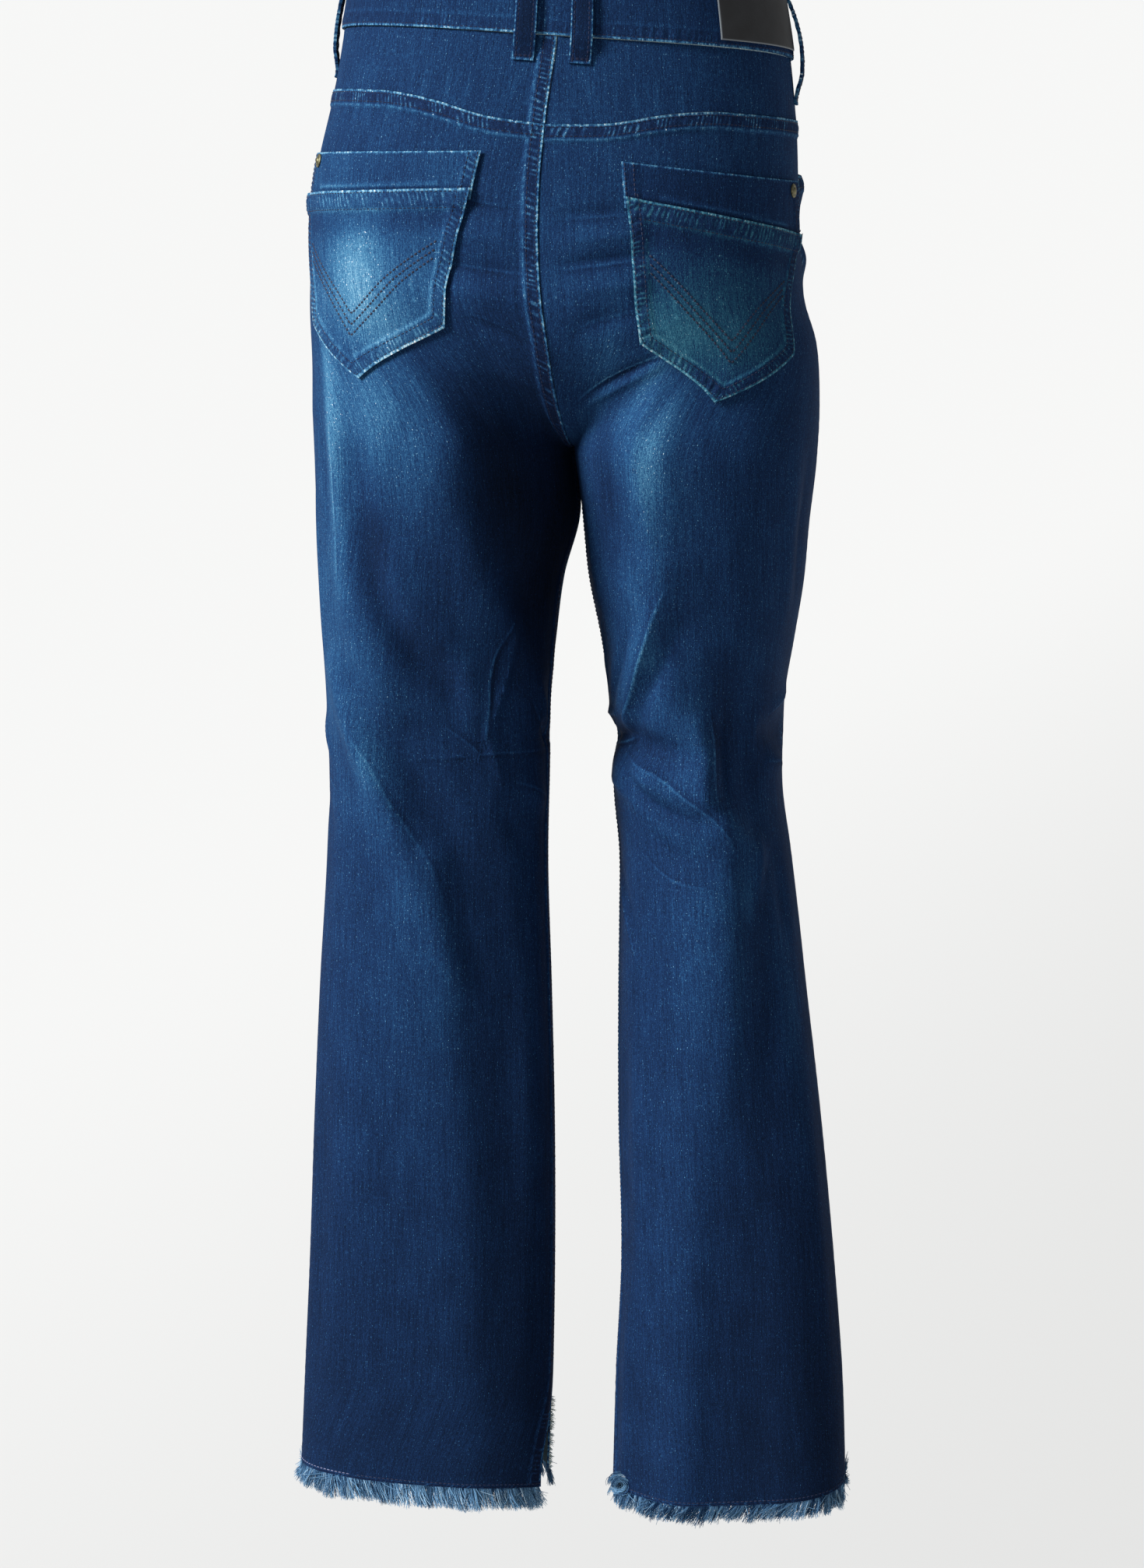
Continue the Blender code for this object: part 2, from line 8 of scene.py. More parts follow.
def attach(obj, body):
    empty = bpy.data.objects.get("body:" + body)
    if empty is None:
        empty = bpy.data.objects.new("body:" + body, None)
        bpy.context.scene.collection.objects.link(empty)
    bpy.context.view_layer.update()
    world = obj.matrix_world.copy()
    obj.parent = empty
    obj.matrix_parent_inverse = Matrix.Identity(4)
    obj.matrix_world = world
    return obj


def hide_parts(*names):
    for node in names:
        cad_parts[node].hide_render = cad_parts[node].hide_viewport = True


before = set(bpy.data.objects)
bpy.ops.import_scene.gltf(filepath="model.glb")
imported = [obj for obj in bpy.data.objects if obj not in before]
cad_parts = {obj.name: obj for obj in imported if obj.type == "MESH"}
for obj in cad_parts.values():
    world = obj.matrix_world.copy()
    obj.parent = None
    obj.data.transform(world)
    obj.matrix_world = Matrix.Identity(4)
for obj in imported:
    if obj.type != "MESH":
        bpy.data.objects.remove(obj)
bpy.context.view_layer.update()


# ---------------------------------------------------------------------------------------------
# Back legs. Each is one panel of medium-weight stretch denim, an indigo warp over a white weft,
# cut from the yoke to a raw hem. Its top laps over the yoke, and the left one's inner edge laps
# over the right one, both felled with two rows of stitches. Washed after sewing, so it is faded.

MM = 0.001
SIDES = {"left": 1, "right": -1}
CLOTH = 1.4                # denim
SEAM = 0.3                 # gap between sewn pieces
SEAM_TURN = 0.08           # the same, round the body
LAP = 1.0                  # how far a felled seam stands up
LAP_WIDTH = 10
STITCH_PITCH = 3.1
SEAT, FORK = 205, 315      # levels where the centre-back seam turns under, and of the crotch
SQUARENESS = 2 / 2.3       # power of the sections, between an ellipse and a box
HIP_TILT, TILT_TOP, TILT_RUN = 0.062, 200, 360     # the left hip stands higher, less and less below
TURN_LENGTH = 460 / 360    # mm for one degree round the body, where folds are placed
SLOPE_STEP = 1.5           # how far apart places are taken to find the cloth's slope
FAR = 40                   # mm from any seam, where its wear has long ended


def table(names, *rows):
    """Named columns from rows of numbers."""
    return dict(zip(names.split(), np.array(rows, float).T))


# A place on the cloth is its level under the waist, `down`, in mm, and its `turn`: 0 at the
# centre back, 180 at the side seam, 360 at the centre front, and on a leg the inseam at both ends.
# These are the sections, level by level: how far each reaches, in mm.
TORSO = table(
    "down seam left right back front",
    (0, -4, 139, -141, 98, -92),
    (42, -3, 146, -148, 103, -96),
    (90, 3, 154.5, -153, 110, -99),
    (140, 7, 166, -155, 119, -101),
    (180, 7, 170.5, -157, 125, -101),
    (210, 5, 171.5, -160, 127, -100),
    (235, 2, 172, -168, 126, -98),
    (280, -2, 169.5, -170, 118, -94),
    (315, -6, 170, -169, 108, -90),
)
LEGS = {
    "left": table(
        "down inner outer middle depth",
        (205, 4, 171.5, 12, 112),
        (260, 0, 170, 10, 106),
        (315, -5.8, 170, 6, 100),
        (363, -9, 169.5, 2, 92),
        (405, 2, 168, -2, 87),
        (448, 8, 167, -6, 82),
        (491, 12.5, 165, -8, 76),
        (530, 13, 164, -8, 69),
        (600, 14, 166, -4, 63),
        (688, 11, 171, 3, 57),
        (777, 8.5, 175, 9, 52),
        (890, 8, 179.5, 13, 47),
        (960, 9, 183, 15, 45),
        (1060, 12, 188, 16, 44),
    ),
    "right": table(
        "down inner outer middle depth",
        (205, 5, -160, 12, 112),
        (260, -1, -170, 8, 107),
        (315, -6.2, -169, 2, 102),
        (363, -12, -164, -8, 98),
        (405, -15.5, -160.5, -17, 94),
        (448, -23, -154, -27, 90),
        (491, -28.5, -147.5, -38, 86),
        (515, -32.5, -146.5, -42, 83),
        (556, -31, -146.5, -40, 79),
        (600, -35.5, -153, -33, 75),
        (644, -36, -159, -26, 71),
        (688, -36, -164.5, -19, 67),
        (777, -37, -176, -7, 61),
        (890, -40, -188, 5, 54),
        (960, -37, -194, 10, 50),
        (1060, -34.5, -198, 13, 47),
    ),
}

# Folds run from one place to another and bow aside by `bend`; a height under zero is a trough.
FOLDS = {
    "left": table(
        "turn0 down0 turn1 down1 bend width height",
        # the large ones, as in the solids: back, then front
        (40, 255, 26, 470, 0, 30, -8),
        (92, 300, 60, 440, 0, 18, 4),
        (150, 455, 94, 580, -4, 13, 7),
        (96, 565, 72, 700, 0, 14, 4),
        (128, 455, 60, 640, 0, 15, -6),
        (330, 300, 265, 262, 0, 15, 5),
        (335, 345, 262, 330, 0, 16, -5),
        (232, 490, 318, 512, 0, 15, 6),
        (236, 548, 322, 560, 0, 15, -5),
        # seat and thigh
        (34, 150, 2, 154, 1, 5, -1.8),
        (44, 172, 2, 176, -2, 7, 2.6),
        (42, 190, 0, 193, 1, 4.5, -3.2),
        (40, 206, 2, 212, -2, 7, 2.6),
        (34, 222, 3, 230, -1, 5, -2.4),
        (26, 244, 3, 252, 1, 6, 1.6),
        (134, 262, 128, 400, 2, 7, 3.0),
        (122, 262, 116, 392, 0, 9, -2.0),
        (148, 280, 142, 380, 0, 6, -2.2),
        (84, 290, 90, 372, 0, 10, 2.0),
        (160, 350, 158, 470, -2, 7, 2.0),
        (168, 300, 170, 420, 0, 5, -1.4),
        # back of the knee
        (120, 352, 68, 492, 13, 9, -7),
        (104, 372, 74, 452, 10, 14, 3.5),
        (132, 372, 96, 500, 9, 12, 3.5),
        (48, 424, 62, 512, -5, 2.4, 2.6),
        (42, 428, 54, 512, -5, 5, -3.6),
        (74, 440, 70, 512, 0, 8, 2.0),
        (60, 500, 48, 548, 3, 3.5, 1.8),
        (130, 502, 94, 588, -2, 3, 2.2),
        (118, 512, 78, 640, -4, 9, -2.2),
        (26, 470, 8, 514, -3, 7, 2.6),
        (18, 504, 0, 522, 1, 5, -3.2),
        (44, 536, 4, 560, 3, 9, 2.6),
        (112, 470, 78, 520, 4, 9, -2.2),
        (56, 552, 20, 600, 3, 8, -2.0),
        (172, 500, 150, 530, 0, 6, 2.2),
        (176, 556, 148, 580, 0, 7, -2.0),
        (84, 590, 62, 690, 3, 10, -3.5),
        # calf
        (118, 640, 124, 900, 3, 22, 2.0),
        (60, 690, 54, 990, -3, 24, -2.0),
        (150, 720, 152, 1000, 0, 12, -1.6),
        (30, 640, 36, 860, 2, 14, 1.8),
        (28, 860, 24, 1060, 0, 10, -1.5),
        # front of the hip and thigh
        (344, 262, 280, 232, 4, 6, 2.4),
        (342, 286, 270, 258, 3, 6, -2.8),
        (340, 322, 262, 306, 4, 7, 2.6),
        (336, 372, 266, 366, 4, 8, -2.4),
        (326, 400, 276, 410, -3, 9, 2.0),
        # front of the knee and shin
        (226, 470, 300, 478, 5, 8, -3.0),
        (240, 516, 318, 532, -4, 9, 2.8),
        (228, 580, 300, 596, 4, 9, 2.4),
        (250, 620, 322, 612, 3, 10, -2.2),
        (312, 700, 306, 980, 0, 16, -1.8),
        (222, 700, 220, 1000, 0, 15, 1.6),
    ),
    "right": table(
        "turn0 down0 turn1 down1 bend width height",
        # the large ones, as in the solids: back, then front
        (78, 370, 76, 425, 0, 17, 3),
        (78, 410, 14, 520, 0, 14, 6),
        (20, 512, 98, 520, 0, 11, -6),
        (2, 534, 90, 544, 0, 13, 6),
        (80, 538, 138, 602, 0, 13, 6),
        (112, 440, 128, 565, 0, 24, -6),
        (84, 590, 98, 700, 0, 26, 5),
        (138, 505, 182, 518, 0, 12, -5),
        (186, 126, 198, 142, 0, 11, 4),
        (186, 172, 198, 190, 0, 11, 4),
        (330, 300, 262, 266, 0, 15, 5),
        (335, 345, 262, 328, 0, 16, -5),
        (238, 470, 312, 492, 0, 15, 6),
        (238, 535, 316, 560, 0, 16, -6),
        # seat and thigh
        (8, 259, 54, 237, -2, 3.4, -3.4),
        (10, 266, 56, 245, -2, 5, 2.2),
        (4, 156, 44, 150, 1, 5, -2.2),
        (4, 172, 46, 164, 1, 7, 2.6),
        (4, 188, 48, 177, 1, 4.5, -3.2),
        (6, 204, 46, 195, 1, 7, 2.6),
        (6, 222, 42, 212, 1, 5, -2.4),
        (60, 250, 78, 400, 2, 6, 2.4),
        (50, 300, 58, 400, 1, 8, -2.0),
        (30, 300, 26, 420, 0, 10, 1.6),
        (106, 300, 112, 430, 0, 12, 1.6),
        (146, 290, 150, 440, 0, 9, 2.2),
        (160, 300, 160, 420, 0, 7, -2.0),
        # back of the knee
        (80, 398, 32, 518, 7, 5, 4.6),
        (64, 412, 20, 506, 5, 6, -5),
        (90, 412, 44, 516, 6, 7, -3.0),
        (24, 428, 18, 508, -3, 2.4, 1.8),
        (4, 503, 34, 496, 1, 4, 2.6),
        (0, 523, 46, 512, 3, 4.5, -4.6),
        (36, 526, 104, 570, -8, 5, -4.4),
        (44, 516, 100, 552, -8, 9, 3.0),
        (3, 546, 58, 560, 4, 6, 2.4),
        (44, 552, 96, 592, 3, 8, 2.6),
        (60, 574, 112, 624, 3, 6, -2.4),
        (7, 612, 45, 676, 3, 2.0, 1.8),
        (12, 604, 52, 668, 3, 5, -1.8),
        (94, 488, 96, 560, 0, 9, 5.5),
        (108, 494, 109, 562, 0, 7, -6),
        (150, 490, 180, 484, -2, 5, 2.4),
        (146, 530, 178, 540, 2, 6, 2.6),
        (136, 572, 126, 626, -2, 7, 3.0),
        (146, 584, 150, 660, 3, 9, -2.4),
        # calf
        (122, 650, 128, 900, 0, 20, -2.0),
        (52, 700, 46, 990, 0, 22, 1.8),
        (152, 720, 150, 980, 0, 12, 1.8),
        (24, 680, 26, 930, 0, 12, -1.8),
        (30, 880, 30, 1060, 0, 9, 1.6),
        # front of the hip and thigh
        (346, 264, 282, 236, 4, 6, 2.4),
        (342, 290, 268, 262, 3, 6, -2.8),
        (338, 322, 262, 300, 4, 7, 2.6),
        (334, 368, 268, 360, 4, 8, -2.4),
        # front of the knee and shin
        (224, 450, 300, 462, 5, 8, -3.0),
        (236, 506, 314, 520, -4, 9, 2.8),
        (226, 566, 302, 584, 4, 9, 2.4),
        (250, 610, 320, 604, 3, 10, -2.2),
        (314, 700, 308, 980, 0, 16, -1.8),
        (224, 700, 222, 1000, 0, 15, 1.6),
    ),
}

# Long soft edges that run down each leg where the cloth turns away: their line, and how high they
# stand. The cloth rises to the edge over `rises` mm and falls steeply from it over `falls` mm, a
# number with a minus where it falls towards lower turns.
EDGES = {
    "left": (
        dict(line=table("down turn height", (330, 116, 0), (380, 111, 3), (456, 106, 5), (510, 108, 7),
                        (560, 98, 7.5), (590, 89, 7.5), (640, 85, 7), (700, 83, 6), (806, 74, 4),
                        (918, 70, 3), (1004, 66, 2), (1060, 66, 1.5)), falls=-80, rises=90),
        dict(line=table("down turn height", (240, 84, 0), (294, 78, 5), (360, 78, 6), (396, 69, 5.5),
                        (430, 52, 5), (470, 34, 0)), falls=-50, rises=100),
        dict(line=table("down turn height", (560, 268, 0), (640, 270, 5), (900, 268, 4), (1060, 266, 3)),
             falls=-80, rises=80),
    ),
    "right": (
        dict(line=table("down turn height", (250, 70, 0), (294, 79, 5), (370, 82, 5), (420, 80, 4),
                        (454, 78, 3), (492, 88, 5), (536, 104, 6.5), (590, 106, 5.5), (696, 101, 5),
                        (804, 84, 4.5), (914, 76, 5), (998, 76, 6), (1060, 76, 5.5)), falls=70, rises=80),
        dict(line=table("down turn height", (560, 272, 0), (640, 270, 5), (900, 272, 4), (1060, 274, 3)),
             falls=80, rises=80),
    ),
}
EDGE_SHAPE = table("aside height", (-1, 0), (-0.5, 0.35), (0, 1), (0.2, 0.2), (0.45, -0.35), (0.75, -0.15),
                   (1, 0))

# Fading, with painted shade: blooms of lighter or darker cloth, each with its middle, its half width and half
# length.
BLOOMS_AND_PAINTED_SHADE = {
    "left": table(
        "turn down wide long amount",
        (134, 316, 8, 78, 0.14),
        (112, 292, 30, 46, 0.13),
        (133, 262, 10, 46, 0.08),
        (116, 262, 36, 36, 0.03),
        (84, 385, 34, 42, -0.09),
        (112, 402, 14, 50, -0.05),
        (113, 372, 10, 28, -0.09),
        (92, 438, 16, 34, -0.09),
        (117, 528, 10, 22, 0.10),
        (82, 266, 12, 14, 0.06),
        (44, 484, 10, 26, 0.05),
        (150, 440, 24, 150, 0.08),
        # painted shade, with some darker dye: the inner thigh, where the seat and the other leg shade it
        (60, 330, 30, 56, -0.24),
        (26, 400, 40, 60, -0.20),
        (10, 320, 30, 90, -0.20),
        (30, 470, 36, 60, -0.08),
        (14, 560, 14, 400, -0.05),
        (268, 360, 48, 150, 0.20),
        (270, 530, 44, 60, 0.12),
    ),
    "right": table(
        "turn down wide long amount",
        (54, 258, 13, 42, 0.15),
        (76, 306, 9, 48, 0.17),
        (78, 388, 12, 60, -0.04),
        (50, 330, 12, 54, -0.09),
        (26, 246, 12, 28, 0.11),
        (94, 400, 12, 26, -0.05),
        (71, 448, 8, 30, 0.06),
        (94, 482, 8, 16, 0.05),
        (126, 516, 12, 66, 0.07),
        (118, 614, 10, 20, 0.14),
        (146, 690, 18, 90, 0.10),
        (111, 700, 12, 60, 0.03),
        (92, 524, 14, 18, -0.02),
        # painted shade: the outer side of the leg, turned from the light, and the inner thigh
        (118, 350, 30, 80, -0.02),
        (150, 330, 30, 130, -0.03),
        (128, 470, 34, 60, -0.02),
        (16, 380, 22, 60, -0.06),
        (124, 960, 44, 130, -0.04),
        (268, 350, 48, 150, 0.20),
        (270, 510, 44, 60, 0.12),
    ),
}

# Sharp creases, finer than the grid: rubbed pale on top, partly a painted highlight, with a painted shadow to
# the left of the way they run. Each has its strength and the places (down, turn) it runs through.
CREASES = {
    "left": (
        (1.0, (422, 45), (444, 57), (466, 60), (488, 60), (514, 63)),
        (0.35, (500, 128), (522, 116), (552, 105), (590, 90), (640, 80)),
        (0.4, (524, 1), (521, 30), (519, 60), (523, 96)),
        (0.5, (516, 6), (500, 20), (478, 32)),
        (0.4, (500, 84), (514, 70), (530, 58)),
        (0.4, (560, 4), (548, 24), (540, 44)),
        (0.5, (292, 136), (350, 135), (410, 133)),
        (0.3, (152, 2), (150, 20), (146, 36)),
        (0.4, (194, 2), (192, 20), (190, 36)),
        (0.25, (228, 2), (222, 16), (218, 30)),
        (0.4, (470, 178), (474, 160), (482, 146)),
        (0.4, (540, 178), (544, 160), (552, 144)),
        (0.5, (300, 352), (284, 320), (270, 280)),
        (0.5, (352, 346), (338, 310), (330, 272)),
        (0.5, (480, 236), (488, 270), (496, 306)),
    ),
    "right": (
        (0.6, (514, 28), (482, 53), (448, 66), (414, 76), (396, 82)),
        (0.5, (524, 30), (530, 52), (536, 71), (548, 86), (570, 103), (596, 114)),
        (0.6, (484, 99), (504, 101), (530, 101), (560, 103)),
        (0.8, (512, 46), (520, 24), (524, 2)),
        (0.5, (496, 34), (500, 20), (503, 4)),
        (0.3, (676, 47), (640, 28), (608, 6)),
        (0.4, (590, 50), (606, 74), (612, 96)),
        (1.0, (236, 56), (249, 30), (260, 8)),
        (0.3, (150, 42), (154, 22), (158, 3)),
        (0.4, (178, 46), (184, 24), (190, 4)),
        (0.25, (210, 42), (216, 22), (222, 5)),
        (0.4, (486, 178), (490, 164), (498, 150)),
        (0.4, (536, 178), (532, 160), (530, 146)),
        (0.5, (300, 350), (286, 320), (276, 276)),
        (0.5, (350, 344), (336, 308), (330, 272)),
        (0.5, (462, 240), (474, 272), (480, 306)),
    ),
}


def smooth(columns, key, name, where):
    """Value of one column at `where`, on a smooth curve through the rows."""
    x, y = columns[key], columns[name]
    slope = np.gradient(y, x)
    where = np.clip(where, x[0], x[-1])
    row = np.clip(np.searchsorted(x, where, side="right") - 1, 0, len(x) - 2)
    step = x[row + 1] - x[row]
    t = (where - x[row]) / step
    start = (1 + 2 * t) * (1 - t) ** 2 * y[row] + t * (1 - t) ** 2 * step * slope[row]
    end = t * t * (3 - 2 * t) * y[row + 1] + t * t * (t - 1) * step * slope[row + 1]
    return start + end


def bow(value):
    """A sine or cosine bent outwards, for sections that are a little square."""
    return np.sign(value) * np.abs(value) ** SQUARENESS


def ease(value):
    """A smooth step from 0 to 1."""
    value = np.clip(value, 0, 1)
    return value * value * (3 - 2 * value)


def surface(side, down, turn):
    """Smooth outside of the body and legs, in mm."""
    down, turn = np.broadcast_arrays(np.asarray(down, float), np.asarray(turn, float))
    drop = np.clip((down - SEAT) / (FORK - SEAT), 0, 1)
    swing = drop * math.pi / 2
    near = np.clip(np.abs(turn / 180 - 1), 0, 1) ** 5
    level = down + (FORK - SEAT) * near * (np.sin(swing) - drop)
    share = near * (1 - np.cos(swing)) + (1 - near) * ease(drop)

    half = np.radians(turn / 2)
    seam, edge = (smooth(TORSO, "down", name, level) for name in ("seam", side))
    back, front = (smooth(TORSO, "down", name, level) for name in ("back", "front"))
    hip_x = seam + (edge - seam) * bow(np.sin(half))
    hip_y = np.where(np.cos(half) > 0, back, -front) * bow(np.cos(half))

    inner, outer, middle, depth = (smooth(LEGS[side], "down", name, level)
                                   for name in ("inner", "outer", "middle", "depth"))
    leg_x = (inner + outer) / 2 - (outer - inner) / 2 * bow(np.cos(2 * half))
    leg_y = middle + depth * bow(np.sin(2 * half))

    x = hip_x + share * (leg_x - hip_x)
    y = hip_y + share * (leg_y - hip_y)
    tilt = HIP_TILT * (1 - ease((level - TILT_TOP) / TILT_RUN))
    return np.stack((x, y, tilt * x - level), -1)


def outward(side, down, turn):
    """Unit normals of the smooth outside."""
    across = surface(side, down, turn + SLOPE_STEP) - surface(side, down, turn - SLOPE_STEP)
    along = surface(side, down + SLOPE_STEP, turn) - surface(side, down - SLOPE_STEP, turn)
    normal = np.cross(across, along) * SIDES[side]
    return normal / np.linalg.norm(normal, axis=-1, keepdims=True)


def fold_height(side, down, turn):
    """How far the folds and soft edges lift the cloth, in mm."""
    folds, total = FOLDS[side], 0
    for edge in EDGES[side]:
        line = edge["line"]
        aside = (turn - smooth(line, "down", "turn", down)) * TURN_LENGTH
        falls, rises = edge["falls"], edge["rises"]
        aside = np.where(aside * falls > 0, np.abs(aside / falls), -np.abs(aside / rises))
        total = total + smooth(line, "down", "height", down) * smooth(EDGE_SHAPE, "aside", "height", aside)
    for row in range(len(folds["width"])):
        turn0, down0, turn1, down1, bend, width, height = (folds[name][row] for name in folds)
        run = np.array(((turn1 - turn0) * TURN_LENGTH, down1 - down0))
        length = np.linalg.norm(run)
        across, along = (turn - turn0) * TURN_LENGTH, down - down0
        part = np.clip((across * run[0] + along * run[1]) / length ** 2, 0, 1)
        distance = (across * run[1] - along * run[0]) / length - bend * np.sin(math.pi * part)
        sharp = 1.5 if width < 8 else 2      # a narrow fold has a sharper top
        total = total + height * np.sin(math.pi * part) ** 0.8 * np.exp(-np.abs(distance / width) ** sharp)
    return total


def creases(side, down, turn):
    """Signed distance from the nearest sharp crease, and how strong it is there, as marks for its pale line
    and painted shadow.
    """
    across, down = np.broadcast_arrays(turn * TURN_LENGTH, down)
    beside, rubbed = np.full(across.shape, 9.0), np.zeros(across.shape)
    for strength, *places in CREASES[side]:
        line = table("at down turn", *((number, *place) for number, place in enumerate(places)))
        where = np.linspace(0, len(places) - 1, 10 * len(places))
        x, y = smooth(line, "at", "turn", where) * TURN_LENGTH, smooth(line, "at", "down", where)
        near = (np.abs(across - (x.min() + x.max()) / 2) < np.ptp(x) / 2 + 9)
        near &= np.abs(down - (y.min() + y.max()) / 2) < np.ptp(y) / 2 + 9
        step_x, step_y = np.diff(x), np.diff(y)
        off_x, off_y = across[near][:, None] - x[:-1], down[near][:, None] - y[:-1]
        part = np.clip((off_x * step_x + off_y * step_y) / (step_x ** 2 + step_y ** 2), 0, 1)
        distance = np.hypot(off_x - part * step_x, off_y - part * step_y)
        closest = distance.argmin(axis=1)
        pick = np.arange(len(closest)), closest
        left = np.sign(off_x[pick] * step_y[closest] - off_y[pick] * step_x[closest]) * -SIDES[side]
        reach = np.clip((closest + part[pick]) / len(step_x), 0, 1)
        value = strength * np.sin(math.pi * reach) ** 0.6 * (1 - ease((distance[pick] - 6) / 3))
        stronger = value > rubbed[near]
        rubbed[near] = np.where(stronger, value, rubbed[near])
        beside[near] = np.where(stronger, distance[pick] * left, beside[near])
    return {"crease": beside, "rubbed": rubbed}


def cloth(side, down, turn, out=0.0):
    """Places on the folded cloth, `out` mm from its face."""
    down, turn = np.broadcast_arrays(np.asarray(down, float), np.asarray(turn, float))
    height = np.asarray(out) + fold_height(side, down, turn)
    return surface(side, down, turn) + outward(side, down, turn) * height[..., None]


def laid(side, down, turn, out):
    """Places on the folded cloth, and the way it faces there."""
    return cloth(side, down, turn, out), outward(side, down, turn)


def fade_and_painted_shade(side, down, turn):
    """How far the cloth is faded, over or under its plain colour, with painted shade: paler on folds, darker
    in hollows, on the inner thighs and towards the hem.
    """
    # paler where folds stand out and wear, and darker in their hollows as painted shade
    total = np.clip(0.010 * fold_height(side, down, turn), -0.08, 0.08)
    # painted shade: darker from the knee down to the hem, in place of light that weakens lower down
    total = total + 0.03 - 0.06 * ease((down - 430) / 160) - 0.08 * ease((down - 620) / 420)
    for place, level, wide, long, amount in zip(*BLOOMS_AND_PAINTED_SHADE[side].values()):
        across = (turn - place) * TURN_LENGTH / wide
        total += amount * np.exp(-across ** 2 - ((down - level) / long) ** 2)
    return total


def hill(value, middle, width):
    """A soft hill, 1 high in the middle."""
    return np.exp(-((value - middle) / width) ** 2)


def gathers(along):
    """Uneven puckers along a seam, between -1 and 1."""
    return np.sin(along / 1.15 + 1.7 * np.sin(along / 7.3)) * (0.62 + 0.38 * np.sin(along / 11.7 + 1))


def felled(distance, along, width=LAP_WIDTH, height=LAP, pucker=0.32):
    """Lift of a lapped seam at a distance from its edge, pulled in along its two stitch rows."""
    band = 1 - ease((distance - width) / 1.8)
    rows = hill(distance, 1.8, 0.9) + hill(distance - width + 2, 0, 0.9)
    swell = np.sin(math.pi * np.clip(distance / width, 0, 1))
    return band * (height + pucker * gathers(along + 0.5 * distance) * swell - 0.22 * rows)


def across_cloth(side, down, turn):
    """Distance along the cloth from the first column, row by row."""
    steps = np.linalg.norm(np.diff(surface(side, down, turn), axis=1), axis=2)
    return np.concatenate((np.zeros((len(steps), 1)), np.cumsum(steps, axis=1)), axis=1)


def nearest(*edges):
    """Distance to the nearest of a piece's worn edges, and how far along it, as marks for the cloth."""
    distances, alongs = (np.stack(np.broadcast_arrays(*part)) for part in zip(*edges))
    which = distances.argmin(axis=0)[None]
    distance = np.take_along_axis(distances, which, 0)[0]
    return {"seam": np.minimum(distance, FAR), "along": np.take_along_axis(alongs, which, 0)[0]}


def rows_between(start, *stretches):
    """Levels for each column: `stretches` are pairs of a lower level and how many rows reach it."""
    rows, last = [start], start
    for end, count in stretches:
        rows += [last + (end - last) * (step + 1) / count for step in range(count)]
        last = rows[-1]
    return np.array(rows)


def linear(code):
    """Linear colour from an sRGB hex code."""
    values = [int(code[i:i + 2], 16) / 255 for i in (1, 3, 5)]
    return tuple(v / 12.92 if v <= 0.04045 else ((v + 0.055) / 1.055) ** 2.4 for v in values) + (1,)


def plug(node, sockets):
    """Gives sockets, by name or in order, a number, a colour or the output of another node."""
    for name, value in sockets.items() if isinstance(sockets, dict) else enumerate(sockets):
        if isinstance(value, bpy.types.NodeSocket):
            node.id_data.links.new(value, node.inputs[name])
        else:
            node.inputs[name].default_value = value


def add(tree, kind, sockets=(), stops=(), **settings):
    """Adds a shader node; a ramp also has stops, each a place and an sRGB hex code."""
    node = tree.nodes.new("ShaderNode" + kind)
    for name, value in settings.items():
        setattr(node, name, value)
    for number, (place, code) in enumerate(stops):
        stop = node.color_ramp.elements[number] if number < 2 else node.color_ramp.elements.new(place)
        stop.position, stop.color = place, linear(code)
    plug(node, sockets)
    return node.outputs[0]


def blank(name):
    """A new material, with its nodes and its shader."""
    material = bpy.data.materials.new(name)
    material.use_nodes = True
    return material, material.node_tree, material.node_tree.nodes["Principled BSDF"]


# Indigo from unwashed to nearly white, and then bare cotton. The warp is blue and the weft white, so
# worn places go pale and a little green, and thick warp threads show as faint slubs down the cloth.
INDIGO = ((0.0, "#03070f"), (0.30, "#0c1d38"), (0.45, "#142d52"), (0.60, "#214971"),
          (0.75, "#437799"), (0.90, "#80abc0"), (1.0, "#bcd0db"), (1.0, "#ffffff"))
# settings of the nodes that work out a tone
PLUS, TIMES, TIMES_PLUS = (dict(operation=name) for name in ("ADD", "MULTIPLY", "MULTIPLY_ADD"))
SOFT_STEP = dict(interpolation_type="SMOOTHSTEP")
PER_METRE = 1000           # mm, for patterns on a UV in metres
WAVE_LENGTH = 0.314        # of a wave texture whose scale is 1


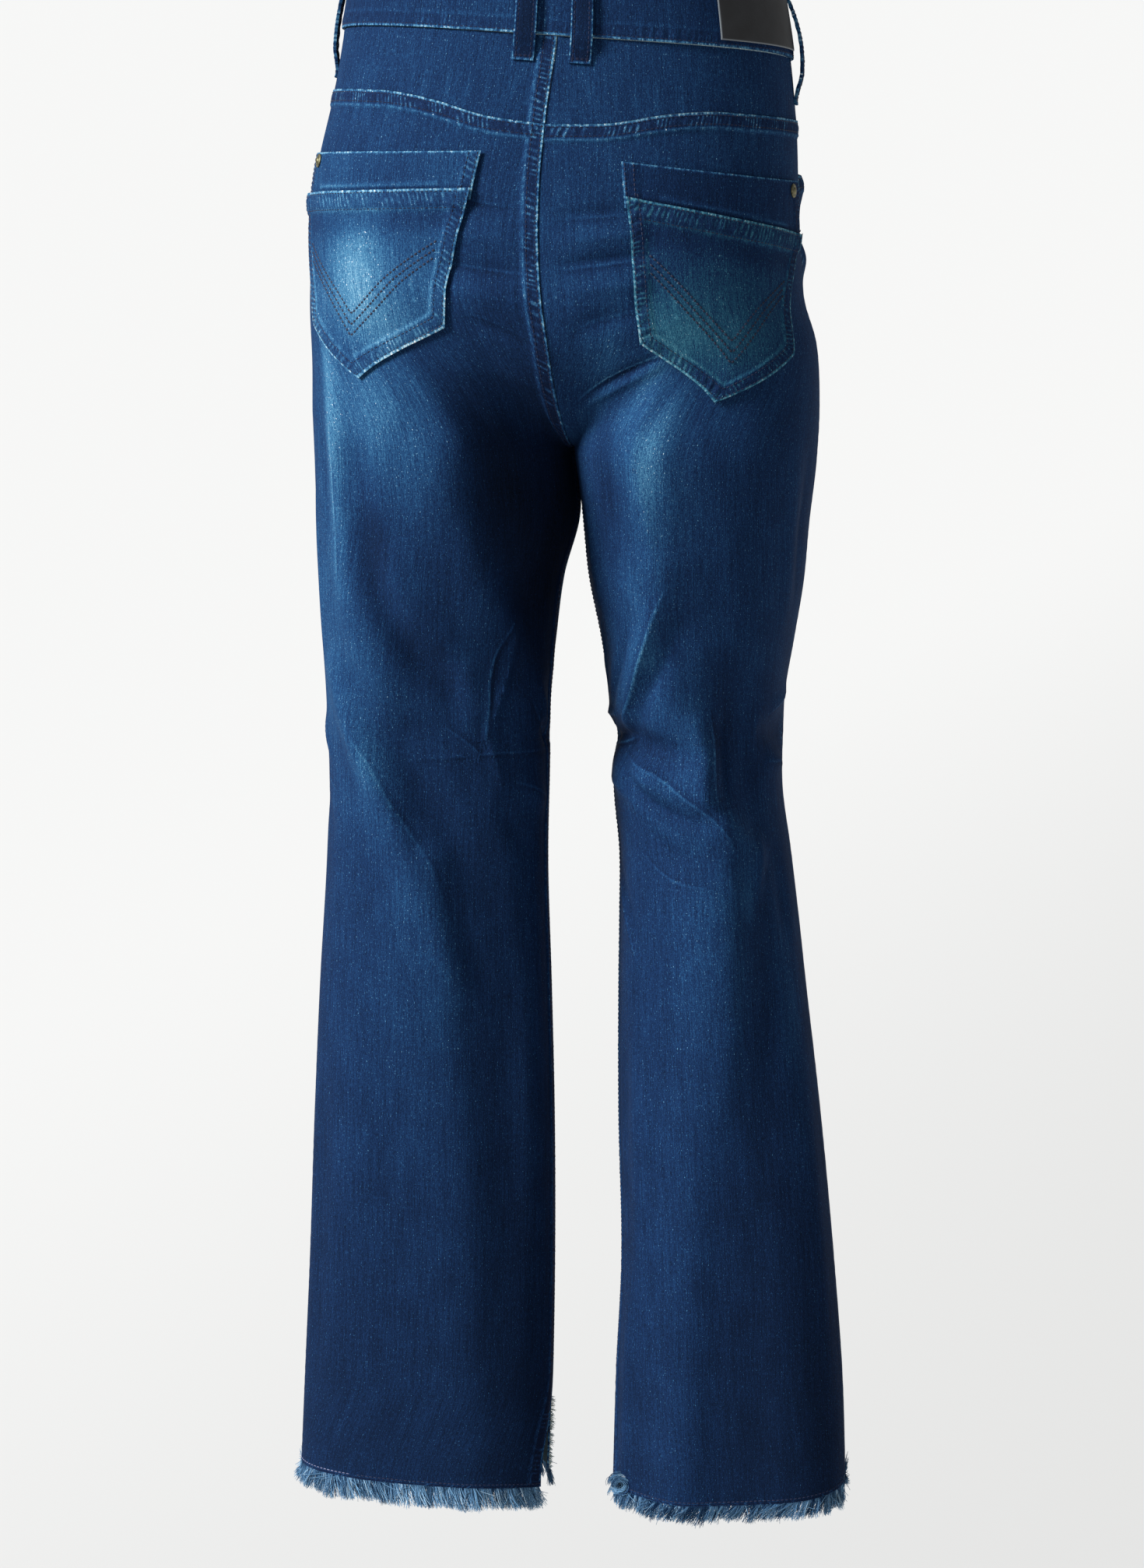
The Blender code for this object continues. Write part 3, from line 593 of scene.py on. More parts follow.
def denim(name, tone=0.42, worn=1.0, roped=1.0, ramp=INDIGO):
    """Twill that is `tone` on its ramp; `worn` scales the wear along its seams, and `roped` its ropes."""
    material, tree, shader = blank(name)
    weave = add(tree, "UVMap", uv_map="weave")
    seam, along, fade_and_shade, crease, rubbed = (add(tree, "Attribute", attribute_name=mark).node.outputs["Fac"]
                                         for mark in ("seam", "along", "fade_and_shade", "crease", "rubbed"))

    def threads(across, along, detail=1.0):
        """Noise whose grains are that many mm across and along the warp."""
        place = add(tree, "Mapping", {"Vector": weave, "Scale": (PER_METRE / across, PER_METRE / along, 1)})
        return add(tree, "TexNoise", {"Vector": place, "Scale": 1.0, "Detail": detail},
                   noise_dimensions="2D")

    def stripe(value, start, full, fading, end):
        """1 between `full` and `fading`, and 0 outside `start` and `end`."""
        rise = add(tree, "MapRange", (value, start, full, 0, 1), **SOFT_STEP)
        fall = add(tree, "MapRange", (value, fading, end, 1, 0), **SOFT_STEP)
        return add(tree, "Math", (rise, fall), **TIMES)

    # its own tone: slubs, streaks, single threads, nap and clouds, each a noise that averages a half,
    # so that the tone stays where it is, and then pale nubs
    slubs, fine, nap = threads(0.9, 22, 2.0), threads(0.5, 3), threads(0.8, 0.8, 2.0)
    streaks, clouds = threads(2.2, 60), threads(26, 34, 3.0)
    # the cloth's fading comes in here, with the painted shade it carries
    value = add(tree, "Math", (fade_and_shade, tone), **PLUS)
    for noise, amount in ((slubs, 0.20), (streaks, 0.10), (fine, 0.30), (nap, 0.34), (clouds, 0.10)):
        noise = add(tree, "Math", (noise, amount, -amount / 2), **TIMES_PLUS)
        value = add(tree, "Math", (value, noise), **PLUS)
    nubs = add(tree, "MapRange", (threads(0.8, 1.4), 0.72, 0.80, 0, 1), **SOFT_STEP)

    # sharp creases: a pale line on top, partly wear and partly a painted highlight, broken where it rubs
    # less, and a painted shadow along one side
    off_crease = add(tree, "Math", (crease,), operation="ABSOLUTE")
    top = add(tree, "MapRange", (off_crease, 0.2, 1.5, 1, 0), **SOFT_STEP)
    top = add(tree, "Math", (top, rubbed), **TIMES)
    broken = add(tree, "MapRange", (threads(3, 5, 2.0), 0.3, 0.55, 0.35, 1), **SOFT_STEP)
    top = add(tree, "Math", (top, broken), **TIMES)
    shadow = add(tree, "Math", (stripe(crease, 0.6, 1.8, 1.8, 6.5), rubbed), **TIMES)
    swell = add(tree, "MapRange", (off_crease, 0, 4, 1, 0), **SOFT_STEP)
    swell = add(tree, "Math", (swell, rubbed), **TIMES)

    # a turned edge rubs pale in a bead between each two stitches, and the band behind it in ropes
    beads = add(tree, "Math", (along, 2 * math.pi / STITCH_PITCH), **TIMES)
    beads = add(tree, "Math", (beads,), operation="SINE")
    beads = add(tree, "Math", (beads, 0.18, 0.82), **TIMES_PLUS)
    patches = add(tree, "MapRange", (threads(4, 4, 3.0), 0.32, 0.60, 0.28, 1), **SOFT_STEP)
    beads = add(tree, "Math", (beads, patches), **TIMES)
    lip = add(tree, "MapRange", (seam, 0.7, 2.2, 1, 0), **SOFT_STEP)
    lip = add(tree, "Math", (lip, beads), **TIMES)
    band = stripe(seam, 1.2, 2.6, 7.5, 9.5)
    stretches = add(tree, "MapRange", (threads(13, 13, 2.0), 0.38, 0.60, 0.12, 1.1), **SOFT_STEP)
    stretches = add(tree, "Math", (patches, stretches), **TIMES)
    sway = add(tree, "Math", (along, 1 / 5.3), **TIMES)
    sway = add(tree, "Math", (sway,), operation="SINE")
    sway = add(tree, "Math", (sway, 2.6), **TIMES)
    slant = add(tree, "Math", (seam, 0.45), **TIMES)
    ropes = add(tree, "Math", (along, 1 / 0.56, sway), **TIMES_PLUS)
    ropes = add(tree, "Math", (ropes, slant), **PLUS)
    ropes = add(tree, "Math", (ropes,), operation="SINE")
    ropes = add(tree, "MapRange", (ropes, -0.6, 1, 0, 1), **SOFT_STEP)
    ropes = add(tree, "Math", (ropes, band), **TIMES)
    ropes = add(tree, "Math", (ropes, stretches), **TIMES)
    behind = add(tree, "Math", (stripe(seam, 8.5, 9.8, 9.8, 12.5), patches), **TIMES)

    for wear, amount in ((nubs, 0.30), (top, 0.20), (shadow, -0.13), (lip, 0.44 * worn),
                         (ropes, 0.30 * worn * roped), (band, -0.08 * worn * roped),
                         (behind, 0.18 * worn * roped)):
        value = add(tree, "Math", (wear, amount, value), **TIMES_PLUS)
    colour = add(tree, "ValToRGB", {"Fac": value}, stops=ramp)
    shade = add(tree, "Math", (band, 0.14 * worn * roped), **TIMES)
    colour = add(tree, "MixRGB", {"Fac": shade, "Color1": colour, "Color2": linear("#1c1b38")})

    # a twill line every 0.9 mm; the real 0.6 mm is too fine to show
    twill = add(tree, "Mapping", {"Vector": weave, "Rotation": (0, 0, math.radians(27)),
                                  "Scale": (PER_METRE, PER_METRE, 1)})
    twill = add(tree, "TexWave", {"Vector": twill, "Scale": WAVE_LENGTH / 0.9, "Distortion": 0.6})
    height = add(tree, "Math", (slubs, 0.4), **TIMES)
    for relief, amount in ((twill, 0.3), (fine, 0.3), (nap, 0.5), (ropes, 1.4 * worn * roped), (swell, 6.0)):
        height = add(tree, "Math", (relief, amount, height), **TIMES_PLUS)
    bump = add(tree, "Bump", {"Height": height, "Strength": 0.6, "Distance": 0.25 * MM})
    plug(shader, {"Base Color": colour, "Normal": bump, "Roughness": 0.85, "Specular IOR Level": 0.06,
                  "Sheen Weight": 0.03, "Sheen Roughness": 0.5, "Sheen Tint": linear("#3f74b4")})
    return material


def shell(name, points, weave, marks, materials, thick, side="left"):
    """Cloth from a grid of places in mm, made `thick` inwards; the reverse has its own material."""
    rows, columns = points.shape[:2]
    index = np.arange(rows * columns).reshape(rows, columns)
    corners = (index[:-1, :-1], index[:-1, 1:], index[1:, 1:], index[1:, :-1])
    faces = np.stack(corners if side == "left" else corners[::-1], -1).reshape(-1, 4)
    mesh = bpy.data.meshes.new(name)
    mesh.from_pydata((points.reshape(-1, 3) * MM).tolist(), [], faces.tolist())
    mesh.uv_layers.new(name="weave").data.foreach_set("uv", (weave.reshape(-1, 2)[faces] * MM).ravel())
    for mark, values in marks.items():
        values = np.broadcast_to(values, (rows, columns)).astype(np.float32)
        mesh.attributes.new(mark, "FLOAT", "POINT").data.foreach_set("value", values.ravel())
    for material in materials:
        mesh.materials.append(material)
    piece = bpy.data.objects.new(name, mesh)
    bpy.context.scene.collection.objects.link(piece)
    wall = piece.modifiers.new("thickness", "SOLIDIFY")
    wall.thickness, wall.offset = thick * MM, -1
    wall.material_offset = len(materials) - 1
    return piece


def finish(piece, slot, *nodes, angle=45):
    """Applies what is on a piece, smooths it and puts it on the frame."""
    bpy.ops.object.select_all(action="DESELECT")
    piece.select_set(True)
    bpy.context.view_layer.objects.active = piece
    for modifier in list(piece.modifiers):
        bpy.ops.object.modifier_apply(modifier=modifier.name)
    bpy.ops.object.shade_smooth_by_angle(angle=math.radians(angle))
    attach(piece, "root")
    if nodes:
        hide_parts(*nodes)
    return piece


YOKE_SEAM = table("turn down", (0, 98), (25, 95), (50, 88), (75, 84.5), (110, 85), (180, 89))
HEMS = {
    ("left", "back"): dict(inseam=1048, side_seam=1034, sag=-5),
    ("left", "front"): dict(inseam=1037, side_seam=1034, sag=2),
    ("right", "back"): dict(inseam=1041, side_seam=1038, sag=5),
    ("right", "front"): dict(inseam=1044, side_seam=1038, sag=-2),
}
SLIT_TOP, SLIT_END = 962, 1036     # the inseam opens between these levels
SLIT_TURN = {"left": 19, "right": 4}


def yoke_seam(turn):
    """Level of the seam between a yoke and a back leg."""
    return smooth(YOKE_SEAM, "turn", "down", turn)


def hem(side, face, turn):
    """Level of the raw edge."""
    edge = HEMS[side, face]
    part = 1 - np.abs(turn - 180) / 180
    level = edge["inseam"] + (edge["side_seam"] - edge["inseam"]) * part
    return level + edge["sag"] * np.sin(math.pi * part)


def slit_turn(side, down, turn):
    """How far the back's inseam edge turns aside where the slit is open."""
    return (1 - turn / 180) * SLIT_TURN[side] * ease((down - SLIT_TOP) / (SLIT_END - SLIT_TOP))


def grain(side, down, turn, middle):
    """UV in mm, with the warp running down the panel's middle."""
    across = across_cloth(side, down, turn)
    column = np.abs(turn[0] - middle).argmin()
    return np.stack((across - across[:, column:column + 1], -down), -1)


DENIM = denim("washed_indigo_twill")
REVERSE = denim("twill_reverse", tone=0.5, worn=0.2, ramp=(
    (0.0, "#0d1316"), (0.5, "#46545a"), (0.7, "#6f7d80"), (1.0, "#aab3b3"), (1.0, "#ffffff")))

STITCH_LENGTH = 2.5
# along, aside and above the cloth: a rounded bead, its ends drawn down into the needle holes
BEAD = np.array(((-1.25, 0, -0.1), (-0.7, -0.36, 0), (-0.7, 0, 0.42), (-0.7, 0.36, 0),
                 (0.7, -0.36, 0), (0.7, 0, 0.42), (0.7, 0.36, 0), (1.25, 0, -0.1)))
BEAD_FACES = ((0, 1, 2), (0, 2, 3), (0, 3, 1), (1, 4, 5, 2), (2, 5, 6, 3), (3, 6, 4, 1),
              (7, 5, 4), (7, 6, 5), (7, 4, 6))


def thread(name, code):
    """Core-spun polyester sewing thread: twisted, with a soft sheen."""
    material, tree, shader = blank(name)
    place = add(tree, "TexCoord").node.outputs["Object"]
    twist = add(tree, "TexWave", {"Vector": place, "Scale": 1 / (1.6 * MM), "Distortion": 1.0},
                bands_direction="DIAGONAL")
    clouds = add(tree, "TexNoise", {"Vector": place, "Scale": 1 / (9 * MM), "Detail": 2.0})
    colour = add(tree, "MixRGB", {"Fac": clouds, "Color1": linear(code), "Color2": linear("#2a3350")})
    bump = add(tree, "Bump", {"Height": twist, "Strength": 0.5, "Distance": 0.08 * MM})
    plug(shader, {"Base Color": colour, "Normal": bump, "Roughness": 0.6, "Specular IOR Level": 0.3})
    return material


def solid(name, points, faces, material):
    """A closed piece from points in mm and faces."""
    mesh = bpy.data.meshes.new(name)
    mesh.from_pydata((points * MM).tolist(), [], faces)
    mesh.materials.append(material)
    piece = bpy.data.objects.new(name, mesh)
    bpy.context.scene.collection.objects.link(piece)
    return piece


def run_of(places):
    """Length along a line of places, up to each of them."""
    return np.concatenate(((0,), np.cumsum(np.linalg.norm(np.diff(places, axis=0), axis=1))))


def at(where, run, values):
    """Values at some lengths along a line."""
    return np.stack([np.interp(where, run, column) for column in values.T], -1)


def sewn(name, rows, material, slot, weight=1.0):
    """Rows of stitches as one piece; a row is its places on the cloth and the normals there."""
    points = []
    bead = BEAD * (1, weight, weight)
    for places, normals in rows:
        run = run_of(places)
        starts = np.arange(0.5, run[-1] - STITCH_LENGTH, STITCH_PITCH)
        first, last = at(starts, run, places), at(starts + STITCH_LENGTH, run, places)
        up = at(starts + STITCH_LENGTH / 2, run, normals)
        ahead = (last - first) / np.linalg.norm(last - first, axis=1, keepdims=True)
        aside = np.cross(up, ahead)
        axes = np.stack((ahead, aside, up), 1)
        points.append(((first + last) / 2)[:, None] + bead @ axes)
    points = np.concatenate(points).reshape(-1, 3)
    faces = [[corner + start for corner in face] for start in range(0, len(points), len(BEAD))
             for face in BEAD_FACES]
    return finish(solid(name, points, faces, material), slot, angle=70)


def row_at(distance, where, *grids):
    """Values of each grid where `distance` reaches `where`, one for each column."""
    return tuple(np.array([at(where, distance[:, column], grid[:, column])
                           for column in range(grid.shape[1])]) for grid in grids)


def turned(*grids):
    """Grids with their rows as columns."""
    return [grid.swapaxes(0, 1) for grid in grids]


BODY_TURNS = np.concatenate(((0, 0.5, 1.1, 1.8, 2.8, 4, 5, 6, 7, 8, 8.8, 9.8), np.linspace(11.5, 180, 92)))
BODY_TURNS[0] += SEAM_TURN
BODY_TURNS[-1] -= SEAM_TURN
ROWS = 1.8, 7.6            # distances of the two stitch rows from a felled edge
STAY_UP = 2.6              # the row that holds a raw edge, above it
PALE_STAY_TURN = 112       # from here on, the left leg's is of paler thread
THREAD = thread("navy_core_spun_thread", "#15152c")
EMBROIDERY = thread("heavy_navy_thread", "#0b0a1c")
STAY_THREAD = thread("pale_stay_thread", "#8f93b4")

back_legs, leg_stitches = {}, {}
for side in SIDES:
    turns = BODY_TURNS
    top = yoke_seam(turns) + SEAM
    edge = hem(side, "back", turns + (1 - turns / 180) * SLIT_TURN[side])
    down = rows_between(top, (top + 1, 2), (top + 9, 6), (top + 12, 3), (SEAT, 46), (FORK, 56), (600, 110),
                        (edge - 6, 110), (edge, 4))
    turn = turns + slit_turn(side, down, turns)
    from_yoke = down - top
    from_inseam = across_cloth(side, down, turn)
    to_side = from_inseam[:, -1:] - from_inseam
    lift = felled(from_yoke, turn * TURN_LENGTH)
    fell = 1.0 if side == "left" else ease((down - FORK) / 60)
    lift = np.maximum(lift, fell * felled(from_inseam, down))
    lift += 0.4 * felled(to_side, down, height=0.6, pucker=0.25)
    points, normals = laid(side, down, turn, lift)
    # pressed seams and the raw edge wear over a narrower strip, so their distances are stretched
    marks = nearest((from_yoke, turn * TURN_LENGTH),
                    (from_inseam + (0 if side == "left" else np.where(fell > 0.5, 0, FAR)), down),
                    (to_side * 2 + 0.9, down), ((edge - down) * 5 + 0.8, turn * TURN_LENGTH))
    marks.update(creases(side, down, turn))
    piece = shell(f"back_leg_of_{side}_side", points, grain(side, down, turn, 90),
                  {**marks, "fade_and_shade": fade_and_painted_shade(side, down, turn)}, (DENIM, REVERSE), CLOTH, side)
    back_legs[side] = finish(piece, "denim", f"back_leg_{side}")
    rows = [row_at(from_yoke, where, points, normals) for where in ROWS]
    start = 0 if side == "left" else np.argmax(down[:, 0] > FORK + 40)
    end = np.argmax(down[:, 0] > SLIT_TOP)
    rows += [row_at(from_inseam[start:end].T, where, *turned(points[start:end], normals[start:end]))
             for where in ROWS]
    leg_stitches[side] = sewn(f"back_leg_stitches_{side}", rows, THREAD, "denim")
    # one row holds the raw edge: navy, but for a length of paler thread on the left leg's outer side
    stay = row_at(down - edge, -STAY_UP, points, normals)
    join = np.argmax(turns > PALE_STAY_TURN) if side == "left" else len(turns)
    rows = [[part[:join] for part in stay]]
    leg_stitches["stay_" + side] = sewn(f"stay_stitches_back_{side}", rows, THREAD, "denim")
    if side == "left":
        rows = [[part[join:] for part in stay]]
        leg_stitches["pale_stay"] = sewn("pale_stay_stitches", rows, STAY_THREAD, "denim")


# ---------------------------------------------------------------------------------------------
# Front legs. The same denim, cut from the waistband to a raw hem, with a scooped mouth for the
# front pocket that is turned in and stitched twice, and side seams and inseams pressed flat.

BAND_HEIGHT = 42
FRONT_DROP = 20            # the waist is this much lower at the front
MOUTH_TURN, MOUTH_DEPTH = 266, 76


def waist(turn):
    """Level of the waistband's top edge."""
    return FRONT_DROP * ((1 - np.cos(np.radians(turn / 2))) / 2) ** 1.5


def mouth(turn):
    """Level of the front's top edge: the waistband seam, then the scooped pocket mouth."""
    part = np.clip((turn - 180) / (MOUTH_TURN - 180), 0, 1)
    return waist(turn) + BAND_HEIGHT + SEAM + MOUTH_DEPTH * np.sqrt(1 - part ** 2)


for side in SIDES:
    turns = np.concatenate((np.linspace(180, 256, 34), np.linspace(258, MOUTH_TURN, 8),
                            np.linspace(269, 360, 44)))
    turns[0] += SEAM_TURN
    turns[-1] -= SEAM_TURN
    top = mouth(turns)
    edge = hem(side, "front", turns)
    down = rows_between(top, (top + 1, 2), (top + 9, 5), (top + 12, 2), (SEAT, 26), (FORK, 36), (600, 90),
                        (edge - 6, 90), (edge, 4))
    turn = np.broadcast_to(turns, down.shape)
    from_mouth = down - top
    from_side = across_cloth(side, down, turn)
    to_inseam = from_side[:, -1:] - from_side
    lift = np.maximum(felled(from_mouth, turn * TURN_LENGTH, height=0.5),
                      0.4 * felled(from_side, down, height=0.6, pucker=0.25))
    points, normals = laid(side, down, turn, lift)
    marks = nearest((np.where(turn < MOUTH_TURN, from_mouth, FAR), turn * TURN_LENGTH),
                    (from_side * 2 + 0.9, down), (to_inseam * 1.5 + 0.9, down),
                    ((edge - down) * 5 + 0.8, turn * TURN_LENGTH))
    marks.update(creases(side, down, turn))
    piece = shell(f"front_leg_of_{side}_side", points, grain(side, down, turn, 270),
                  {**marks, "fade_and_shade": fade_and_painted_shade(side, down, turn)}, (DENIM, REVERSE), CLOTH, side)
    finish(piece, "denim", f"front_leg_{side}")
    last = np.argmax(turns > MOUTH_TURN)
    rows = [row_at(from_mouth[:, :last], where, points[:, :last], normals[:, :last]) for where in ROWS]
    leg_stitches["mouth_" + side] = sewn(f"pocket_mouth_stitches_{side}", rows, THREAD, "denim")
    stay = [row_at(down - edge, -STAY_UP, points, normals)]
    leg_stitches["front_stay_" + side] = sewn(f"stay_stitches_front_{side}", stay, THREAD, "denim")


# the seam allowances, pressed open inside behind the side seams and the front of the rise
ALLOWANCE_CLOTH, ALLOWANCE_BEHIND = 0.8, 0.4
for side in SIDES:
    start, end = waist(180.0) + BAND_HEIGHT + 1, hem(side, "back", 180.0) - 9
    down = rows_between(np.full(6, start), (150, 30), (end, 120))
    turn = np.broadcast_to(np.linspace(176.4, 183.6, 6), down.shape)
    # deeper where the pocket facing lies in front of it
    depth = CLOTH + ALLOWANCE_BEHIND + 2.7 * (1 - ease((down - 150) / 12))
    weave = np.stack((turn * TURN_LENGTH, -down), -1)
    strip = shell(f"side_seam_allowance_{side}", cloth(side, down, turn, -depth), weave,
                  {"fade_and_shade": 0.0, "seam": FAR}, (REVERSE,), ALLOWANCE_CLOTH, side)
    finish(strip, "denim")
levels = np.linspace(176, FORK - 2, 30)[:, None]
turns = np.array((357, 358.4, 359.6))
points = np.concatenate([cloth(side, levels, across, -CLOTH - ALLOWANCE_BEHIND)
                         for side, across in (("left", turns), ("right", turns[::-1]))], 1)
weave = np.stack(np.broadcast_arrays(np.arange(6) * 1.6, -levels), -1)
strip = shell("rise_seam_allowance", points, weave, {"fade_and_shade": 0.0, "seam": FAR}, (REVERSE,), ALLOWANCE_CLOTH)
finish(strip, "denim")


# ---------------------------------------------------------------------------------------------
# Yokes. Two shaped pieces of the same denim between the waistband and the back legs, joined at
# the centre back by the felled seam, which runs on up from the legs.

for side in SIDES:
    turns = BODY_TURNS
    top = waist(turns) + BAND_HEIGHT + SEAM
    down = rows_between(top, (top + 6, 4), (yoke_seam(turns), 22))
    turn = np.broadcast_to(turns, down.shape)
    from_centre = across_cloth(side, down, turn)
    to_side = from_centre[:, -1:] - from_centre
    under_band = 0.35 * gathers(turn * TURN_LENGTH) * hill(down - top, 0, 4)
    above_seam = 0.25 * gathers(turn * TURN_LENGTH + 3) * hill(yoke_seam(turns) - down, 0, 4)
    lift = under_band + above_seam + (felled(from_centre, down) if side == "left" else 0)
    points, normals = laid(side, down, turn, lift)
    marks = nearest((from_centre + (0 if side == "left" else FAR), down), (to_side * 2 + 0.9, down))
    piece = shell(f"yoke_of_{side}_side", points, grain(side, down, turn, 90),
                  {**marks, "fade_and_shade": fade_and_painted_shade(side, down, turn)}, (DENIM, REVERSE), CLOTH, side)
    finish(piece, "denim", f"yoke_{side}")
    if side == "left":
        rows = [row_at(from_centre.T, where, *turned(points, normals)) for where in ROWS]
        yoke_stitches = sewn("yoke_stitches", rows, THREAD, "denim")


# ---------------------------------------------------------------------------------------------
# Front pocket facings. Plain denim pieces that show inside the scooped mouths, sewn level into
# the side seam and the waistband and lying under the front.

FACING_SINK = CLOTH + 0.6
for side in SIDES:
    turns = np.linspace(180 + SEAM_TURN, MOUTH_TURN + 9, 44)
    top = waist(turns) + BAND_HEIGHT + SEAM
    edge = mouth(np.minimum(turns, 262))
    down = rows_between(top, (edge + 14, 44))
    turn = np.broadcast_to(turns, down.shape)
    sink = np.maximum(ease((turns - 180) / 20), ease((down - edge + 20) / 14))
    marks = nearest((across_cloth(side, down, turn) * 2 + 0.9, down))
    piece = shell(f"facing_of_{side}_side", cloth(side, down, turn, -FACING_SINK * sink),
                  grain(side, down, turn, 220), {**marks, "fade_and_shade": fade_and_painted_shade(side, down, turn) - 0.04},
                  (DENIM, REVERSE), 1.2, side)
    finish(piece, "denim", f"pocket_facing_{side}")


# ---------------------------------------------------------------------------------------------
# Waistband. One straight strip folded along its top edge, sewn on over the yokes and fronts,
# with a stitch row along each edge. Its buttoned end laps over the other at the centre front.

BAND_OUTER, BAND_INNER, BAND_LIFT = 2.2, -1.0, 3.6
BAND_OVER, BAND_UNDER = 12, 24     # how far each end runs past the centre front, in turns
BAND_ROW = 2.0             # each stitch row, from its edge
BAND_DENIM = denim("dark_indigo_twill", tone=0.40, worn=0.9, roped=0.4)


def band_lift(side, turn):
    """Rise of the buttoned end over the other."""
    return BAND_LIFT * ease((turn - 304) / 22) * (side == "left")


# from the end that lies under, round the right side and the left to the buttoned end
BAND_TURNS = {
    "right": np.concatenate((np.linspace(360 + BAND_UNDER, 361.5, 10), np.linspace(360, 1.2, 240))),
    "left": np.concatenate((np.linspace(0, 360, 241), np.linspace(361.5, 360 + BAND_OVER, 6))),
}
halves = []
for side, turns in BAND_TURNS.items():
    top = waist(turns)
    down = rows_between(top, (top + 3, 4), (top + 33, 10), (top + BAND_HEIGHT, 9))
    turn = np.broadcast_to(turns, down.shape)
    from_top, to_seam = down - top, top + BAND_HEIGHT - down
    along = turn * TURN_LENGTH * SIDES[side]
    lift = BAND_OUTER + band_lift(side, turn)
    lift = lift - 0.7 * (1 - ease(from_top / 2.5)) - 0.3 * (1 - ease(to_seam / 1.2))
    lift = lift + 0.4 * gathers(along) * hill(to_seam, 5, 3.5)
    lift = lift + 0.2 * gathers(along + 2) * hill(from_top, 5, 3)
    lift = lift - 0.25 * hill(to_seam, BAND_ROW, 0.9) - 0.25 * hill(from_top, BAND_ROW, 0.9)
    fade_and_shade = 0.05 * hill(turn, 20, 60) * (side == "left") + 0.03 * ease((turn - 250) / 40)
    halves.append((*laid(side, down, turn, lift), along, from_top, to_seam, fade_and_shade))
points, normals, along, from_top, to_seam, fade_and_shade = (np.concatenate(part, axis=1) for part in zip(*halves))
marks = nearest((from_top, along), (to_seam, along))
waistband = shell("waistband_strip", points, np.stack((along, -from_top), -1), {**marks, "fade_and_shade": fade_and_shade},
                  (BAND_DENIM, REVERSE), BAND_OUTER - BAND_INNER)
finish(waistband, "denim_band", "waistband")
rows = [row_at(from_top, where, points, normals) for where in (BAND_ROW, BAND_HEIGHT - BAND_ROW)]
band_stitches = sewn("waistband_stitches", rows, THREAD, "denim_band")


# ---------------------------------------------------------------------------------------------
# Belt loops. Folded strips of the dark denim with two stitch rows, bar-tacked through the
# waistband at the top and through the yoke at the bottom, bowed out between.

LOOP_WIDTH, LOOP_THICK, LOOP_TOP = 14, 1.8, 1.5
LOOP_ROW = 2.4             # each stitch row, from its edge
LOOPS = {
    "belt_loop_back_left": dict(side="left", across=20, lowest=59, stand=2.6),
    "belt_loop_back_right": dict(side="right", across=16, lowest=59, stand=2.6),
    "belt_loop_side_left": dict(side="left", across=204, lowest=74, stand=3.2),
    "belt_loop_side_right": dict(side="right", across=200, lowest=72, stand=5.0),
    "belt_loop_front_left": dict(side="left", across=305, lowest=74, stand=2.8),
    "belt_loop_front_right": dict(side="right", across=302, lowest=74, stand=2.8),
}
# length of the cloth from the centre back, level by level, to place what is sewn on it
ARC_STEP = 5
ARC_LEVELS = np.arange(0, 345.0, ARC_STEP)
ARC_TURNS = np.linspace(0, 360, 181)
ARCS = {side: across_cloth(side, ARC_LEVELS[:, None], ARC_TURNS) for side in SIDES}


def turn_at(side, down, across):
    """Turn at a distance along the cloth from the centre back, for each of many places."""
    result = []
    for level, reach in zip(np.ravel(down), np.ravel(across)):
        row = min(int(level / ARC_STEP), len(ARC_LEVELS) - 2)
        part = level / ARC_STEP - row
        arc = ARCS[side][row] * (1 - part) + ARCS[side][row + 1] * part
        result.append(np.interp(reach, arc, ARC_TURNS))
    return np.reshape(result, np.shape(down))


def loop_lift(part, stand):
    """Height of a loop's underside over the cloth, from its top (0) to its lowest end (1)."""
    base = BAND_OUTER + SEAM - (BAND_OUTER - 0.2) * ease((part - 0.72) / 0.2)
    return base + stand * np.sin(math.pi * np.clip(part / 0.94, 0, 1)) ** 0.9


